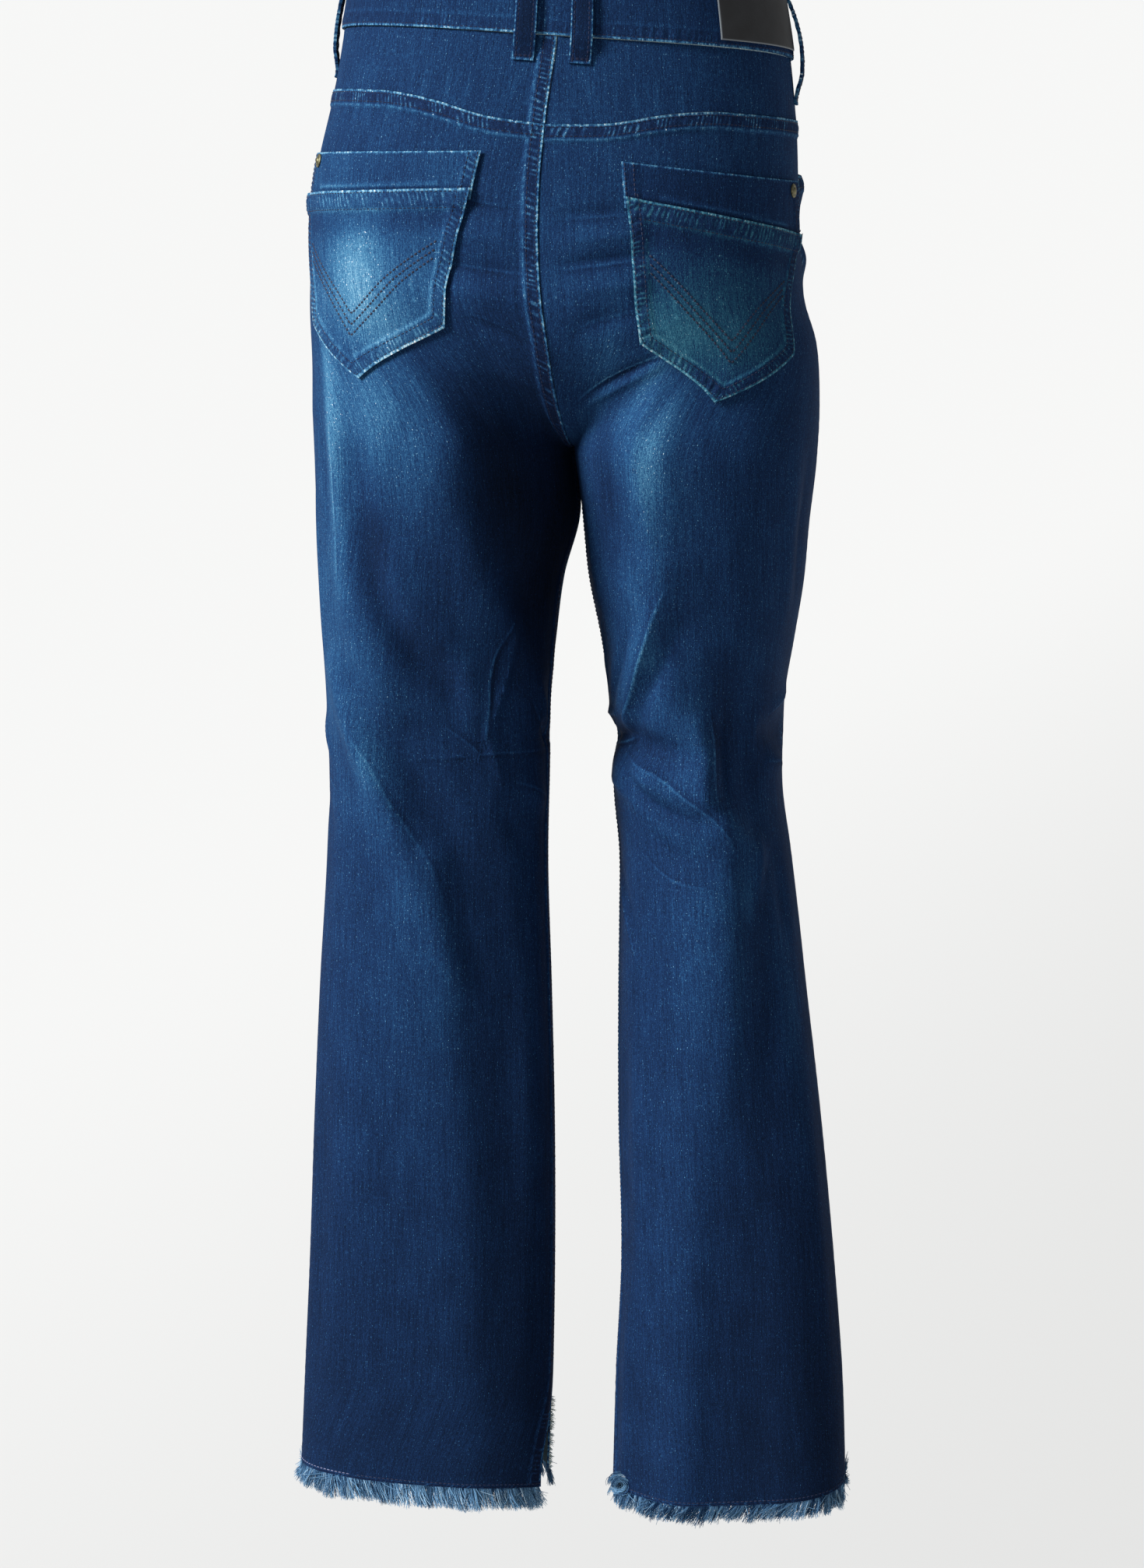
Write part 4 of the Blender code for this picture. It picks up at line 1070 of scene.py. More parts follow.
belt_loops, loop_rows = {}, []
for name, place in LOOPS.items():
    side, across = place["side"], place["across"]
    part = np.concatenate(((0, 0.008), np.linspace(0.02, 0.98, 48), (0.992, 1)))[:, None]
    offset = np.concatenate(((-7, -6.7, -6.2), np.linspace(-5.4, 5.4, 13), (6.2, 6.7, 7)))
    turns = turn_at(side, np.full(offset.shape, BAND_HEIGHT), across + offset)
    down = LOOP_TOP + (place["lowest"] - LOOP_TOP) * part + waist(turns)
    turn = np.broadcast_to(turns, down.shape)
    from_edge = np.broadcast_to(LOOP_WIDTH / 2 - np.abs(offset), down.shape)
    from_end = np.broadcast_to(np.minimum(part, 1 - part) * place["lowest"], down.shape)
    rim = 0.35 * (1 - ease(np.minimum(from_edge, from_end) / 1.2))
    lift = loop_lift(part, place["stand"]) + LOOP_THICK - rim - 0.25 * hill(from_edge, LOOP_ROW, 0.7)
    lift = lift + 0.25 * gathers(down * 1.1 + 2 * offset) * (1 - ease((from_edge - 2.5) / 2))
    lift = lift - 0.5 * hill(from_end, 2.5, 1.2)
    points, normals = laid(side, down, turn, lift)
    marks = nearest((from_edge + 12 * np.maximum(from_edge - 1.2, 0), down), (from_end, turn * TURN_LENGTH))
    fade_and_shade = -0.11 + 0.04 * np.sin(down / 9 + across) + 0.10 * hill(from_edge, 0, 1.6)
    weave = np.stack(np.broadcast_arrays(offset + across, -down), -1)
    piece = shell(name.replace("belt_loop", "loop"), points, weave, {**marks, "fade_and_shade": fade_and_shade}, (BAND_DENIM,),
                  LOOP_THICK, side)
    belt_loops[name] = finish(piece, "denim_band", name)
    across_loop = np.broadcast_to(offset + LOOP_WIDTH / 2, down.shape)
    loop_rows += [row_at(across_loop.T, where, *turned(points, normals))
                  for where in (LOOP_ROW, LOOP_WIDTH - LOOP_ROW)]
    # bar tacks
    along_loop, length = down - down[0], place["lowest"] - LOOP_TOP
    loop_rows += [row_at(along_loop, where, points[:, 2:-2], normals[:, 2:-2])
                  for where in (2.0, 2.6, length - 3.2, length - 2.6)]
loop_stitches = sewn("belt_loop_stitches", loop_rows, THREAD, "denim_band")


# ---------------------------------------------------------------------------------------------
# Leather patch. A bare rectangle of thin, smooth, dyed leather with cut edges, stitched flat to
# the waistband over the right hip, so that it bends with the body.

PATCH_START, PATCH_TOP = 104, 3.5  # from the centre back, and under the waist
PATCH_THICK, PATCH_GAP = 1.2, 0.5


def leather(name):
    """Chrome-tanned and dyed through: dark grey, half matt, with a fine pebbled grain."""
    material, tree, shader = blank(name)
    place = add(tree, "TexCoord").node.outputs["Object"]
    pebbles = add(tree, "TexVoronoi", {"Vector": place, "Scale": 1 / (0.9 * MM)}, feature="SMOOTH_F1")
    clouds = add(tree, "TexNoise", {"Vector": place, "Scale": 1 / (14 * MM), "Detail": 3.0})
    edge = add(tree, "Attribute", attribute_name="seam").node.outputs["Fac"]
    edge = add(tree, "MapRange", (edge, 0.2, 1.1, 1, 0))
    colour = add(tree, "ValToRGB", {"Fac": clouds}, stops=((0.35, "#1d1e21"), (0.7, "#26282c")))
    colour = add(tree, "MixRGB", {"Fac": edge, "Color1": colour, "Color2": linear("#7f868c")})
    bump = add(tree, "Bump", {"Height": pebbles, "Strength": 0.25, "Distance": 0.12 * MM})
    plug(shader, {"Base Color": colour, "Normal": bump, "Roughness": 0.62, "IOR": 1.5})
    return material


offset = np.concatenate(((0, 0.5, 1.2), np.linspace(4, 79, 30), (81.8, 82.5, 83)))
turns = turn_at("right", np.full(offset.shape, BAND_HEIGHT / 2), PATCH_START + offset)
rows = np.concatenate(((0, 0.5, 1.2), np.linspace(3, 31.5, 12), (33.3, 34, 34.5)))[:, None]
down = PATCH_TOP + rows + waist(turns)
turn = np.broadcast_to(turns, down.shape)
seam = np.minimum(np.minimum(offset, offset[-1] - offset), np.minimum(rows, rows[-1] - rows))
lift = BAND_OUTER + PATCH_GAP + PATCH_THICK - 0.3 * (1 - ease(seam / 0.8))
weave = np.stack(np.broadcast_arrays(offset, -rows), -1)
patch = shell("leather_patch_bare", cloth("right", down, turn, lift), weave, {"seam": seam},
              (leather("dark_smooth_leather"),), PATCH_THICK, "right")
finish(patch, "leather", "leather_patch")


# ---------------------------------------------------------------------------------------------
# Back pockets. On each side a strip patch is sewn to the seat first, and the pocket with its
# pointed foot laps over it. Edges are turned in and felled with two rows, which pucker. Three
# nested chevrons of dark thread decorate each pocket.

# corners in pairs, the inner first: of the strip's top, of the pocket's top and foot; then its point
POCKETS = {
    "left": table("across down", (39, 118), (190, 130), (44, 142), (198, 157), (68, 228), (184, 240),
                  (143, 270)),
    "right": table("across down", (51, 119), (202, 128), (55, 141), (207, 163), (59, 229), (170, 239),
                   (113, 270)),
}
POCKET_BOW = {"left": (-1, 2), "right": (3, -3)}   # how far the inner and outer edges curve out
POCKET_LAP, POCKET_CLOTH, POCKET_OUT = 7, 1.1, 1.3
POCKET_HEM = 13            # depth of the turned-in top
POCKET_WASH = {
    "left": table("across down wide long amount", (128, 206, 31, 42, 0.28), (112, 245, 28, 18, 0.06),
                  (70, 205, 22, 30, 0.08), (178, 234, 16, 30, 0.12), (88, 242, 16, 14, 0.08)),
    "right": table("across down wide long amount", (104, 212, 34, 30, 0.11), (120, 236, 28, 20, 0.08),
                   (76, 228, 22, 24, 0.15), (152, 196, 34, 40, 0.05)),
}
# the right pocket's cloth has faded greener
TEAL = INDIGO[:3] + ((0.60, "#23536f"), (0.75, "#417c93"), (0.90, "#7fabba"), (1.0, "#bcd0d8"),
                     (1.0, "#ffffff"))
POCKET_DENIM = {"left": denim("faded_pocket_twill_left", tone=0.49, worn=0.85, roped=0.7),
                "right": denim("faded_pocket_twill_right", tone=0.43, worn=0.85, roped=0.8, ramp=TEAL)}


def corner(side, number):
    """One of a pocket's corners, across and down."""
    return np.array((POCKETS[side]["across"][number], POCKETS[side]["down"][number]))


def from_line(places, line):
    """Distance from each place to a line of points, and how far along it the nearest is."""
    nearest_yet, along = np.full(places.shape[:-1], np.inf), np.zeros(places.shape[:-1])
    for start, end, reach in zip(line, line[1:], run_of(line)):
        step = end - start
        part = np.clip(((places - start) @ step) / max(step @ step, 1e-9), 0, 1)
        distance = np.linalg.norm(places - start - part[..., None] * step, axis=-1)
        closer = distance < nearest_yet
        nearest_yet = np.where(closer, distance, nearest_yet)
        along = np.where(closer, reach + part * np.linalg.norm(step), along)
    return nearest_yet, along


def inset(line, distance):
    """The same line moved sideways, without the loops that corners leave."""
    slope = np.gradient(line, axis=0)
    slope /= np.linalg.norm(slope, axis=1, keepdims=True)
    moved = line + np.stack((slope[:, 1], -slope[:, 0]), -1) * distance
    return moved[from_line(moved, line)[0] > distance - 0.12]


def pocket_lift(around, top):
    """Height of the pocket's face over the seat, with its turned-in edges and their puckers."""
    (edge, along), (from_top, along_top) = around, top
    lap = POCKET_OUT + POCKET_CLOTH + (SEAM + POCKET_CLOTH) * (1 - ease((from_top - 9) / 6))
    turned_in = 0.7 * (1 - ease((edge - 9) / 2)) + 0.6 * (1 - ease((from_top - POCKET_HEM) / 1.6))
    rows = sum(hill(edge, row, 0.8) for row in ROWS) + hill(from_top - POCKET_HEM + 1, 0, 0.8)
    pucker = 0.45 * gathers(along + 0.5 * edge) * hill(edge, 4.7, 3)
    creases = 0.35 * gathers(along_top) * hill(from_top, 7, 5)
    puff = 1.4 * ease((edge - 8) / 30)
    rim = 0.3 * (1 - ease(np.minimum(edge, from_top) / 0.8))
    return lap + turned_in + pucker + creases + puff - 0.25 * rows - rim


back_pockets, pocket_strips, pocket_stitches = {}, {}, {}
for side in SIDES:
    # the strip patch
    part = np.concatenate(((0, 0.004, 0.012), np.linspace(0.03, 0.97, 84), (0.988, 0.996, 1)))[:, None]
    upper = corner(side, 0) + (corner(side, 1) - corner(side, 0)) * part
    lower = corner(side, 2) + (corner(side, 3) - corner(side, 2)) * part + (0, POCKET_LAP)
    step = np.concatenate(((0, 0.02, 0.05), np.linspace(0.1, 1, 18)))[:, None, None]
    strip = upper + (lower - upper) * step
    across, down = strip[..., 0], strip[..., 1]
    top, inner, outer = (from_line(strip, line) for line in (strip[0], strip[:, 0], strip[:, -1]))
    to_pocket = (1 - step[..., 0]) * (lower - upper)[:, 1] - POCKET_LAP
    ends = np.minimum(inner[0], outer[0])
    rim = 0.3 * (1 - ease(np.minimum(ends, top[0]) / 0.8))
    lift = POCKET_OUT + POCKET_CLOTH + 0.5 * (1 - ease((ends - 9) / 2)) - rim
    welt = hill(to_pocket, 3.6, 1.3) * ease((ends - 20) / 6)
    lift = lift + 0.35 * gathers(down) * hill(ends, 4.7, 3) + 0.8 * welt
    fade_and_shade = (0.0 if side == "left" else -0.01) + 0.16 * welt + 0.03 * np.sin(across / 21)
    # painted shadow: a dark line on the strip just above the pocket's top edge, where the pocket laps over it
    fade_and_shade = fade_and_shade - 0.08 * hill(to_pocket, 0.8, 1.2)
    marks = nearest((top[0] + 0.3, top[1]), inner, outer)
    marks["seam"] = np.where(ends > 10.5, np.where(top[0] < 2, marks["seam"], FAR), marks["seam"])
    turn = turn_at(side, down, across)
    points, normals = laid(side, down, turn, lift)
    piece = shell(f"pocket_strip_of_{side}_side", points, strip * (1, -1), {**marks, "fade_and_shade": fade_and_shade},
                  (BAND_DENIM if side == "right" else POCKET_DENIM[side],), POCKET_CLOTH, side)
    pocket_strips[side] = finish(piece, "denim_pocket", f"back_pocket_strip_{side}")
    distances = across - across[:, :1]
    rows = [row_at(distances.T, where, *turned(points, normals)) for where in ROWS]
    rows += [row_at((distances - distances[:, -1:]).T, -where, *turned(points, normals)) for where in ROWS]

    # the pocket over it
    part = np.concatenate(((0, 0.004, 0.012), np.linspace(0.025, 0.975, 96), (0.988, 0.996, 1)))
    upper = corner(side, 2) + (corner(side, 3) - corner(side, 2)) * part[:, None]
    to_point = corner(side, 4) + (corner(side, 6) - corner(side, 4)) * np.minimum(part * 2, 1)[:, None]
    from_point = corner(side, 6) + (corner(side, 5) - corner(side, 6)) * np.maximum(part * 2 - 1, 0)[:, None]
    lower = np.where(part[:, None] < 0.5, to_point, from_point)
    step = np.concatenate(((0, 0.005, 0.014), np.linspace(0.03, 0.97, 86), (0.986, 0.995, 1)))[:, None, None]
    face = upper + (lower - upper) * step
    inner_bow, outer_bow = POCKET_BOW[side]
    face[..., 0] += np.sin(math.pi * step[..., 0] ** 0.8) * (inner_bow * (1 - part) + outer_bow * part)
    across, down = face[..., 0], face[..., 1]
    hem_line = face[0]
    edge_line = np.concatenate((face[:, 0], face[-1, 1:], face[-2::-1, -1]))
    around, top = from_line(face, edge_line), from_line(face, hem_line)
    fade_and_shade = 0.05 * hill(top[0], 7, 5) - 0.06 * hill(top[0], 20, 8)
    for place, level, wide, long, amount in zip(*POCKET_WASH[side].values()):
        fade_and_shade = fade_and_shade + amount * np.exp(-((across - place) / wide) ** 2 - ((down - level) / long) ** 2)
    turn = turn_at(side, down, across)
    points = cloth(side, down, turn, pocket_lift(around, top))
    marks = nearest(around, (top[0] * 0.8, top[1]))
    piece = shell(f"pocket_of_{side}_side", points, face * (1, -1), {**marks, "fade_and_shade": fade_and_shade},
                  (POCKET_DENIM[side],), POCKET_CLOTH, side)
    back_pockets[side] = finish(piece, "denim_pocket", f"back_pocket_{side}")

    # its stitches: two rows round it, two on its hem, and the chevrons
    lines = [inset(edge_line, row) for row in ROWS]
    lines += [hem_line[6:-6] + (0, row) for row in (1.8, POCKET_HEM - 1)]
    chevrons = []
    for row in range(3):
        level = 0.36 + 0.06 * row
        tips = np.array(((0.09, level), (0.5, level + 0.30), (0.91, level)))
        places = at(np.linspace(0, 1, 80), np.array((0, 0.5, 1)), tips)
        columns = np.interp(places[:, 0], part, np.arange(len(part)))
        steps = np.interp(places[:, 1], step[:, 0, 0], np.arange(len(step)))
        first, left_over = np.minimum(steps.astype(int), len(step) - 2), steps % 1
        along_row = [at(column, np.arange(len(part)), face[r] * (1 - over) + face[r + 1] * over)
                     for column, r, over in zip(columns, first, left_over)]
        chevrons.append(np.array(along_row))

    def on_pocket(line):
        """A line across and down, on the pocket's face."""
        turn = turn_at(side, line[:, 1], line[:, 0])
        lift = pocket_lift(from_line(line, edge_line), from_line(line, hem_line))
        return laid(side, line[:, 1], turn, lift)

    rows += [on_pocket(line) for line in lines]
    pocket_stitches[side] = sewn(f"pocket_stitches_{side}", rows, THREAD, "denim_pocket")
    rows = [on_pocket(line) for line in chevrons]
    pocket_stitches["chevrons_" + side] = sewn(f"pocket_chevrons_{side}", rows, EMBROIDERY, "denim_pocket",
                                               weight=1.9)


# ---------------------------------------------------------------------------------------------
# Fly. A placket with a curved foot, faced and stitched over the centre front in a double J, and
# behind it a closed coil zip on woven polyester tape.

FLY_TURN, FLY_LAP_TURN, FLY_LENGTH, FLY_STRAIGHT, FLY_CLOTH = 31, 3, 132, 0.72, 1.1
part = np.linspace(0, 1, 34)
turns = 360 + FLY_LAP_TURN - (FLY_TURN + FLY_LAP_TURN) * part
top = waist(turns) + BAND_HEIGHT + SEAM
length = FLY_LENGTH * (FLY_STRAIGHT + (1 - FLY_STRAIGHT) * np.sqrt(1 - part ** 2))
down = rows_between(top, (top + length, 70))
turn = np.broadcast_to(turns, down.shape)
flat = np.stack((turn * TURN_LENGTH, down), -1)
j_line = np.concatenate((flat[:, -1], flat[-1, ::-1]))
from_j, along = from_line(flat, j_line)
lift = SEAM + FLY_CLOTH + 0.25 * gathers(along) * hill(from_j, 4.7, 2.5)
marks = {"fade_and_shade": fade_and_painted_shade("left", down, turn), "seam": np.minimum(from_j, FAR), "along": along}
fly = shell("fly_placket", cloth("left", down, turn, lift), flat * (1, -1), marks, (DENIM, REVERSE),
            FLY_CLOTH, "right")
finish(fly, "denim", "fly")
rows = []
for row in (4.0, 9.5):
    line = inset(j_line, row)
    rows.append(laid("left", line[:, 1], line[:, 0] / TURN_LENGTH, SEAM + FLY_CLOTH))
fly_stitches = sewn("fly_stitches", rows, THREAD, "denim")

ZIP_TURN, ZIP_LENGTH, ZIP_TOP, ZIP_BEHIND = 11, 118, 2, 1.0
COIL_PITCH = 2.0


def tape(name):
    """Woven polyester zip tape: navy, plain weave, dull."""
    material, tree, shader = blank(name)
    weave = add(tree, "UVMap", uv_map="weave")
    ribs = add(tree, "Mapping", {"Vector": weave, "Scale": (PER_METRE, PER_METRE, 1)})
    warp, weft = (add(tree, "TexWave", {"Vector": ribs, "Scale": WAVE_LENGTH / 0.8}, bands_direction=way)
                  for way in "XY")
    mesh = add(tree, "Math", (warp, weft), **TIMES)
    colour = add(tree, "MixRGB", {"Fac": mesh, "Color1": linear("#0b1020"), "Color2": linear("#1a2440")})
    bump = add(tree, "Bump", {"Height": mesh, "Strength": 0.5, "Distance": 0.15 * MM})
    plug(shader, {"Base Color": colour, "Normal": bump, "Roughness": 0.75})
    return material


ZIP_OUT = -CLOTH - ZIP_BEHIND
ZIP_TURNS = {"right": np.linspace(360 - ZIP_TURN, 355, 5), "left": np.linspace(360, 360 - ZIP_TURN, 8)}
along = np.linspace(0, ZIP_LENGTH, 50)[:, None]
halves = []
for side, turns in ZIP_TURNS.items():
    down = waist(turns) + BAND_HEIGHT + ZIP_TOP + along
    turn = np.broadcast_to(turns, down.shape)
    halves.append(cloth(side, down, turn, ZIP_OUT - 0.4))
points = np.concatenate(halves, axis=1)
across = np.linspace(0, 42, points.shape[1])
weave = np.stack(np.broadcast_arrays(across, -along), -1)
TAPE = tape("navy_zip_tape")
zip_tape = shell("zip_tape", points, weave, {"seam": 0}, (TAPE,), 0.6)
finish(zip_tape, "tape", "zip")
# the coil's turns, which reach out to each side by turns, down the front of the tape's middle
row = np.linspace(0, ZIP_LENGTH - 2, 60)
start, turn = waist(360.0) + BAND_HEIGHT, np.full(row.shape, 359.6)
places = cloth("left", start + ZIP_TOP + 1 + row, turn, ZIP_OUT - 0.9)
normals = -outward("left", start + row, turn)
coil = []
for number, step in enumerate(np.arange(0, ZIP_LENGTH - 4, COIL_PITCH)):
    middle, up = at([step], row, places)[0], at([step], row, normals)[0]
    ahead = at([step + 1], row, places)[0] - middle
    ahead /= np.linalg.norm(ahead)
    aside = np.cross(up, ahead)
    middle = middle + aside * (1.1 if number % 2 else -1.1)
    coil.append((np.array((middle - aside * 1.9, middle + aside * 1.9)), np.array((up, up))))
zip_coil = sewn("zip_coil", coil, TAPE, "tape")


# ---------------------------------------------------------------------------------------------
# Button and rivets. A shank button through the waistband's end, and a burr rivet at each back
# pocket's outer corner: turned brass, plated to an aged olive bronze.

def aged_brass(name):
    """Antiqued plating: dull olive brass, rubbed brighter on its high places."""
    material, tree, shader = blank(name)
    place = add(tree, "TexCoord").node.outputs["Object"]
    tarnish = add(tree, "TexNoise", {"Vector": place, "Scale": 1 / (2.2 * MM), "Detail": 4.0})
    colour = add(tree, "ValToRGB", {"Fac": tarnish}, stops=((0.35, "#5d5a44"), (0.7, "#9a9474")))
    rough = add(tree, "MapRange", {"Value": tarnish, "To Min": 0.62, "To Max": 0.36})
    bump = add(tree, "Bump", {"Height": tarnish, "Strength": 0.3, "Distance": 0.1 * MM})
    plug(shader, {"Base Color": colour, "Roughness": rough, "Normal": bump, "Metallic": 0.9})
    return material


AGED_BRASS = aged_brass("aged_brass")
BUTTON_TURN = 358
RIVET_PART, RIVET_INSET = 0.17, 12     # down the strip's outer edge, and mm in from it
# radius and height of each edge, from the foot to the middle of the face
BUTTON = ((3.0, 0), (3.0, 1.2), (8.0, 1.4), (8.4, 1.7), (8.2, 2.3), (7.4, 3.0), (6.6, 3.2), (6.2, 2.9),
          (3.4, 2.8), (3.0, 3.2), (1.6, 3.4))
RIVET = ((4.6, 0), (4.6, 0.5), (4.1, 0.9), (3.2, 1.1), (2.6, 1.0), (2.2, 1.2), (1.8, 1.7), (1.0, 1.9))


def turned_metal(name, profile, steps, side, down, turn, out, node):
    """Turns a button or a rivet and stands it on the cloth."""
    bpy.ops.object.select_all(action="DESELECT")
    radius, height = profile[0]
    bpy.ops.mesh.primitive_circle_add(vertices=steps, radius=radius * MM, fill_type="NGON")
    piece = bpy.context.object
    piece.name = piece.data.name = name
    bpy.ops.object.mode_set(mode="EDIT")
    bpy.ops.mesh.select_all(action="SELECT")
    for next_radius, next_height in profile[1:]:
        rise = (0, 0, (next_height - height) * MM)
        bpy.ops.mesh.extrude_region_move(TRANSFORM_OT_translate={"value": rise})
        bpy.ops.transform.resize(value=(next_radius / radius, next_radius / radius, 1))
        radius, height = next_radius, next_height
    bpy.ops.mesh.select_all(action="SELECT")
    bpy.ops.mesh.normals_make_consistent(inside=False)
    bpy.ops.object.mode_set(mode="OBJECT")
    seat, facing = laid(side, down, turn, out)
    facing = Vector(facing).to_track_quat("Z", "Y").to_matrix().to_4x4()
    piece.matrix_world = Matrix.Translation(seat * MM) @ facing
    bpy.ops.object.transform_apply(location=True, rotation=True, scale=True)
    piece.data.materials.append(AGED_BRASS)
    return finish(piece, "metal", node, angle=35)


turned_metal("shank_button", BUTTON, 28, "left", waist(360.0) + BAND_HEIGHT / 2, BUTTON_TURN,
             BAND_OUTER + BAND_LIFT + SEAM + 0.1, "waist_button")
for side in SIDES:
    across, down = corner(side, 1) + (corner(side, 3) - corner(side, 1)) * RIVET_PART - (RIVET_INSET, 0)
    turn = turn_at(side, np.array(down), np.array(across))
    turned_metal(f"burr_rivet_{side}", RIVET, 16, side, down, turn, POCKET_OUT + POCKET_CLOTH + SEAM,
                 f"pocket_rivet_{side}")


# ---------------------------------------------------------------------------------------------
# Frayed hems. The weft is pulled out of the last finger's width of cloth, so the blue warp ends
# hang free: they clump, lean and curl, and splay at the seams.

# from the inseam to the side seam, how far the ends lean aside; at the side seam, how far the last
# ones splay aside and hang
FRINGE = {
    ("left", "back"): dict(threads=2600, length=18, tone=0.43, splay=(0.85, 0.45),
                           lean=(-0.3, -0.12, -0.2, -0.1, 0.5)),
    ("left", "front"): dict(threads=1500, length=15.0, tone=0.44, splay=(0.8, 0.5),
                            lean=(-0.3, -0.1, 0.1, 0.0, 0.4)),
    ("right", "back"): dict(threads=2300, length=15.5, tone=0.22, splay=(0.95, -0.3),
                            lean=(0.1, -0.45, -0.55, -0.5, 0.2)),
    ("right", "front"): dict(threads=1500, length=13.0, tone=0.36, splay=(0.9, 0.2),
                             lean=(0.2, -0.2, -0.3, 0.1, 0.5)),
}
FRINGE_CLUMPS, FRINGE_RADIUS = 84, 0.33    # a thread is drawn twice as thick as real, so that it shows
WISP = 1.5                 # width of the paler and darker wisps
FRINGE_STEPS = np.array((0, 0.3, 0.65, 1))
SLIT_THREADS, TUFT_THREADS, TUFT_STEPS = 260, 200, 10
FRINGE_SEED, TUFT_SEED = 11, 17


def frayed(name):
    """Loose warp yarn: indigo outside, paler where the dye has rubbed off it."""
    material, tree, shader = blank(name)
    tone = add(tree, "Attribute", attribute_name="tone").node.outputs["Fac"]
    codes = ((0.0, "#17365a"), (0.7, "#74a2c6"), (0.9, "#b5cddb"), (1.0, "#dde0d2"), (1.0, "#ffffff"))
    colour = add(tree, "ValToRGB", {"Fac": tone}, stops=codes)
    plug(shader, {"Base Color": colour, "Roughness": 0.8, "Specular IOR Level": 0.15})
    return material


def yarn_tubes(name, paths, tones, material):
    """Thin three-sided tubes along many paths, each tapering to its end."""
    steps = paths.shape[1]
    ahead = np.gradient(paths, axis=1)
    ahead /= np.linalg.norm(ahead, axis=2, keepdims=True)
    aside = np.cross(ahead, (0.3, 0.2, 0.9))
    aside /= np.linalg.norm(aside, axis=2, keepdims=True)
    above = np.cross(ahead, aside)
    radius = FRINGE_RADIUS * np.linspace(1, 0.45, steps)[None, :, None]
    rings = [paths + radius * (math.cos(angle) * aside + math.sin(angle) * above)
             for angle in (0, 2 * math.pi / 3, 4 * math.pi / 3)]
    points = np.stack(rings, 2).reshape(-1, 3)
    faces = []
    for first in range(0, len(points), steps * 3):
        last = first + steps * 3 - 3
        for ring in range(first, last, 3):
            faces += [(ring + a, ring + b, ring + 3 + b, ring + 3 + a) for a, b in ((0, 1), (1, 2), (2, 0))]
        faces += [(first + 2, first + 1, first), (last, last + 1, last + 2)]
    piece = solid(name, points, faces, material)
    piece.data.attributes.new("tone", "FLOAT", "POINT").data.foreach_set(
        "value", np.repeat(tones.ravel(), 3).astype(np.float32))
    return piece


FRAYED = frayed("frayed_indigo_yarn")
for number, ((side, face), look) in enumerate(FRINGE.items()):
    draw = np.random.default_rng(FRINGE_SEED + number)
    start, end = (SLIT_TURN[side] + 0.3, 179.7) if face == "back" else (180.3, 359.7)
    turns = np.linspace(start, end, 200)
    edge = hem(side, face, turns)
    if face == "front":
        turns, edge = turns[::-1], edge[::-1]
    line, normal = laid(side, edge, turns, -CLOTH / 2)
    run = run_of(line)
    width, count = run[-1], look["threads"]
    centres = np.sort(draw.uniform(0, width, FRINGE_CLUMPS))
    share = np.linspace(0, 1, 5)
    clump_lean = np.interp(centres / width, share, look["lean"]) + draw.normal(0, 0.10, FRINGE_CLUMPS)
    clump_out = draw.normal(0.05, 0.12, FRINGE_CLUMPS)
    clump_long = draw.uniform(0.9, 1.05, FRINGE_CLUMPS)
    root = draw.uniform(0, width, count)
    clump = np.abs(root[:, None] + draw.normal(0, 1.0, count)[:, None] - centres).argmin(axis=1)
    base = at(root, run, line)
    beside = at(root, run, np.gradient(line, axis=0))
    beside /= np.linalg.norm(beside, axis=1, keepdims=True)
    out = at(root, run, normal)
    long = look["length"] * clump_long[clump] * draw.uniform(0.82, 1.02, count)
    lean = clump_lean[clump] + draw.normal(0, 0.15, count) + 0.25 * (centres[clump] - root) / long
    swing = clump_out[clump] + draw.normal(0, 0.06, count)
    curl = draw.normal(0, 0.08, count)
    lean = np.where(draw.random(count) < 0.05, draw.normal(0, 0.6, count), lean)
    drop = np.sqrt(np.clip(1 - lean ** 2, 0.16, 1))
    splay = ease((root - width + 10) / 7)
    lean += splay * (look["splay"][0] + draw.normal(0, 0.25, count) - lean)
    drop += splay * (look["splay"][1] + draw.normal(0, 0.3, count) - drop)
    t = FRINGE_STEPS[None, :, None]
    paths = base[:, None] + (0, 0, 1.6) - np.array((0, 0, 1)) * (drop * long)[:, None, None] * t
    paths = paths + beside[:, None] * ((lean * long)[:, None, None] * t ** 1.4
                                       + (curl * long)[:, None, None] * np.sin(math.pi * t))
    paths = paths + out[:, None] * ((swing * long)[:, None, None] * t ** 1.5
                                    + draw.normal(0, 0.35, count)[:, None, None] * np.sin(math.pi * t))
    wisps = draw.normal(0, 0.26, int(width / WISP) + 1)
    tones = look["tone"] + draw.normal(0, 0.16, count) + wisps[(root / WISP).astype(int)]
    tones = np.clip(tones[:, None] + (-0.28, -0.04, 0.06, 0.14), 0, 0.84)
    if (side, face) == ("left", "front"):
        # weft ends and overlocking that stand out of the open slit
        levels = draw.uniform(SLIT_TOP + 22, edge[0], SLIT_THREADS)
        roots, away = laid(side, levels, 359.5, -CLOTH / 2)
        aim = away + draw.normal(0, 0.25, (SLIT_THREADS, 3)) + (0, 0.35, -0.2)
        reach = draw.uniform(1.5, 3.5, (SLIT_THREADS, 1, 1))
        paths = np.concatenate((paths, roots[:, None] + aim[:, None] * reach * t))
        pale = draw.uniform(0.9, 1.0, (SLIT_THREADS, 1)) + np.zeros(len(FRINGE_STEPS))
        tones = np.concatenate((tones, pale))
    piece = yarn_tubes(f"frayed_warp_{face}_{side}", paths, tones, FRAYED)
    finish(piece, "denim_fringe", f"hem_fringe_{face}_{side}", angle=80)

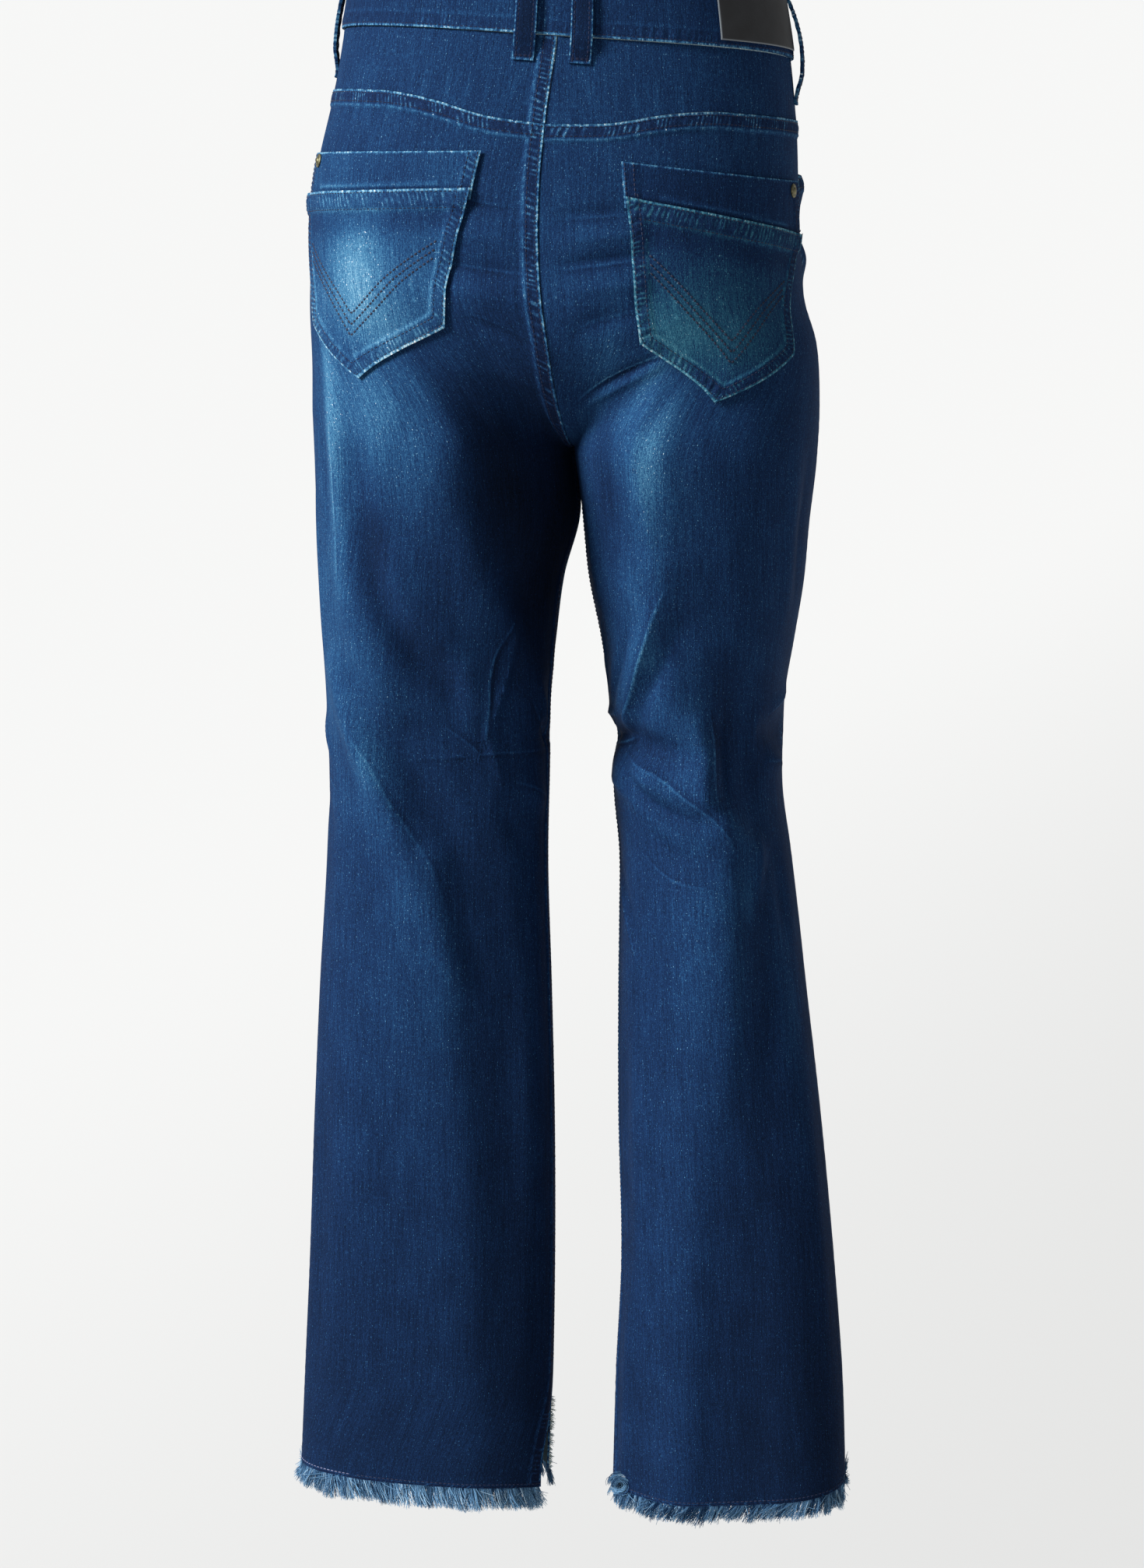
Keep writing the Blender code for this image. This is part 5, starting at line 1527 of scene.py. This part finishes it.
# a tuft that has curled up over the right hem beside its inseam
draw = np.random.default_rng(TUFT_SEED)
turns = draw.uniform(24, 32, TUFT_THREADS)
roots, away = laid("right", hem("right", "back", turns), turns, 0.0)
angle = np.radians(np.linspace(-110, 190, TUFT_STEPS)) + draw.normal(0, 0.25, (TUFT_THREADS, 1))
wide = draw.uniform(3.0, 6.5, (TUFT_THREADS, 1)) * np.linspace(1.15, 0.8, TUFT_STEPS)
centre = roots + (0, 0, 4.5) + away * draw.uniform(0.6, 2.6, (TUFT_THREADS, 1))
centre = centre + draw.normal(0, 0.7, (TUFT_THREADS, 3))
paths = np.stack((-wide * np.cos(angle), np.zeros_like(wide), wide * np.sin(angle)), -1)
paths += away[:, None] * np.linspace(0, 1.5, TUFT_STEPS)[:, None]
tones = np.clip(draw.normal(0.42, 0.22, (TUFT_THREADS, 1)) + np.zeros(TUFT_STEPS), 0, 1)
tuft = yarn_tubes("curled_tuft_right", centre[:, None] + paths, tones, FRAYED)
finish(tuft, "denim_fringe", angle=80)

for side in SIDES:
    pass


# ---------------------------------------------------------------------------------------------
# Floor, light and camera. A pale studio: a wide soft light high on the left of the camera, and a pale floor
# that throws a little of it back. The camera is level with the waist.

FLOOR_LEVEL, FLOOR_SIZE = -1.9, 20000  # metres
bpy.ops.object.select_all(action="DESELECT")
bpy.ops.mesh.primitive_plane_add(size=FLOOR_SIZE, location=(0, 0, FLOOR_LEVEL))
floor = bpy.context.object
floor.name = "studio_floor"
# matt studio paint: paler in the distance, and painted palest on the left, towards the light
paint, tree, shader = blank("matt_pale_floor")
place = add(tree, "TexCoord").node.outputs["Object"]
across = add(tree, "SeparateXYZ", {"Vector": place})
away = across.node.outputs["Y"]
beyond = add(tree, "MapRange", {"Value": away, "From Min": -0.8, "From Max": -2.0}, **SOFT_STEP)
painted_light_side = add(tree, "Math", (away, -0.3, across), **TIMES_PLUS)
painted_light_side = add(tree, "MapRange", {"Value": painted_light_side, "From Min": -0.6, "From Max": 3.0}, **SOFT_STEP)
far = add(tree, "MixRGB", {"Fac": painted_light_side, "Color1": linear("#d8d8d7"), "Color2": linear("#ebebea")})
pale = add(tree, "MixRGB", {"Fac": beyond, "Color1": linear("#c2c2c1"), "Color2": far})
plug(shader, {"Base Color": pale, "Roughness": 0.95, "Specular IOR Level": 0.0})
floor.data.materials.append(paint)

world = bpy.data.worlds.new("studio")
bpy.context.scene.world = world
world.use_nodes = True
plug(world.node_tree.nodes["Background"], {"Color": linear("#f6f7f8"), "Strength": 0.28})

soft_light = bpy.data.lights.new("soft_light", "SUN")
soft_light.energy = 5.4
soft_light.angle = math.radians(22)
lamp = bpy.data.objects.new("soft_light", soft_light)
lamp.rotation_euler = Vector((-0.73, -0.46, -0.50)).to_track_quat("-Z", "Y").to_euler()
bpy.context.scene.collection.objects.link(lamp)
bpy.context.scene.view_settings.view_transform = "Standard"

CAMERA_AWAY, CAMERA_LEVEL, CAMERA_SIDE = 2.8, -0.0185, 0.00368     # metres
CAMERA_YAW, CAMERA_PITCH = math.radians(5), math.radians(10.73)
FOCAL_SHARE = 5330 / 2014  # focal length for each unit of the frame's height
aside = Vector((-math.cos(CAMERA_YAW), -math.sin(CAMERA_YAW), 0))
ahead = Vector((math.sin(CAMERA_YAW) * math.cos(CAMERA_PITCH), -math.cos(CAMERA_YAW) * math.cos(CAMERA_PITCH),
                -math.sin(CAMERA_PITCH)))
lens = bpy.data.cameras.new("camera")
lens.sensor_fit, lens.sensor_height = "VERTICAL", 24
lens.lens = lens.sensor_height * FOCAL_SHARE
lens.clip_end = FLOOR_SIZE
camera = bpy.data.objects.new("camera", lens)
camera.location = (Vector((-math.sin(CAMERA_YAW), math.cos(CAMERA_YAW), 0)) * CAMERA_AWAY
                   + Vector((0, 0, CAMERA_LEVEL)) + aside * CAMERA_SIDE)
camera.rotation_euler = ahead.to_track_quat("-Z", "Y").to_euler()
bpy.context.scene.collection.objects.link(camera)
bpy.context.scene.camera = camera
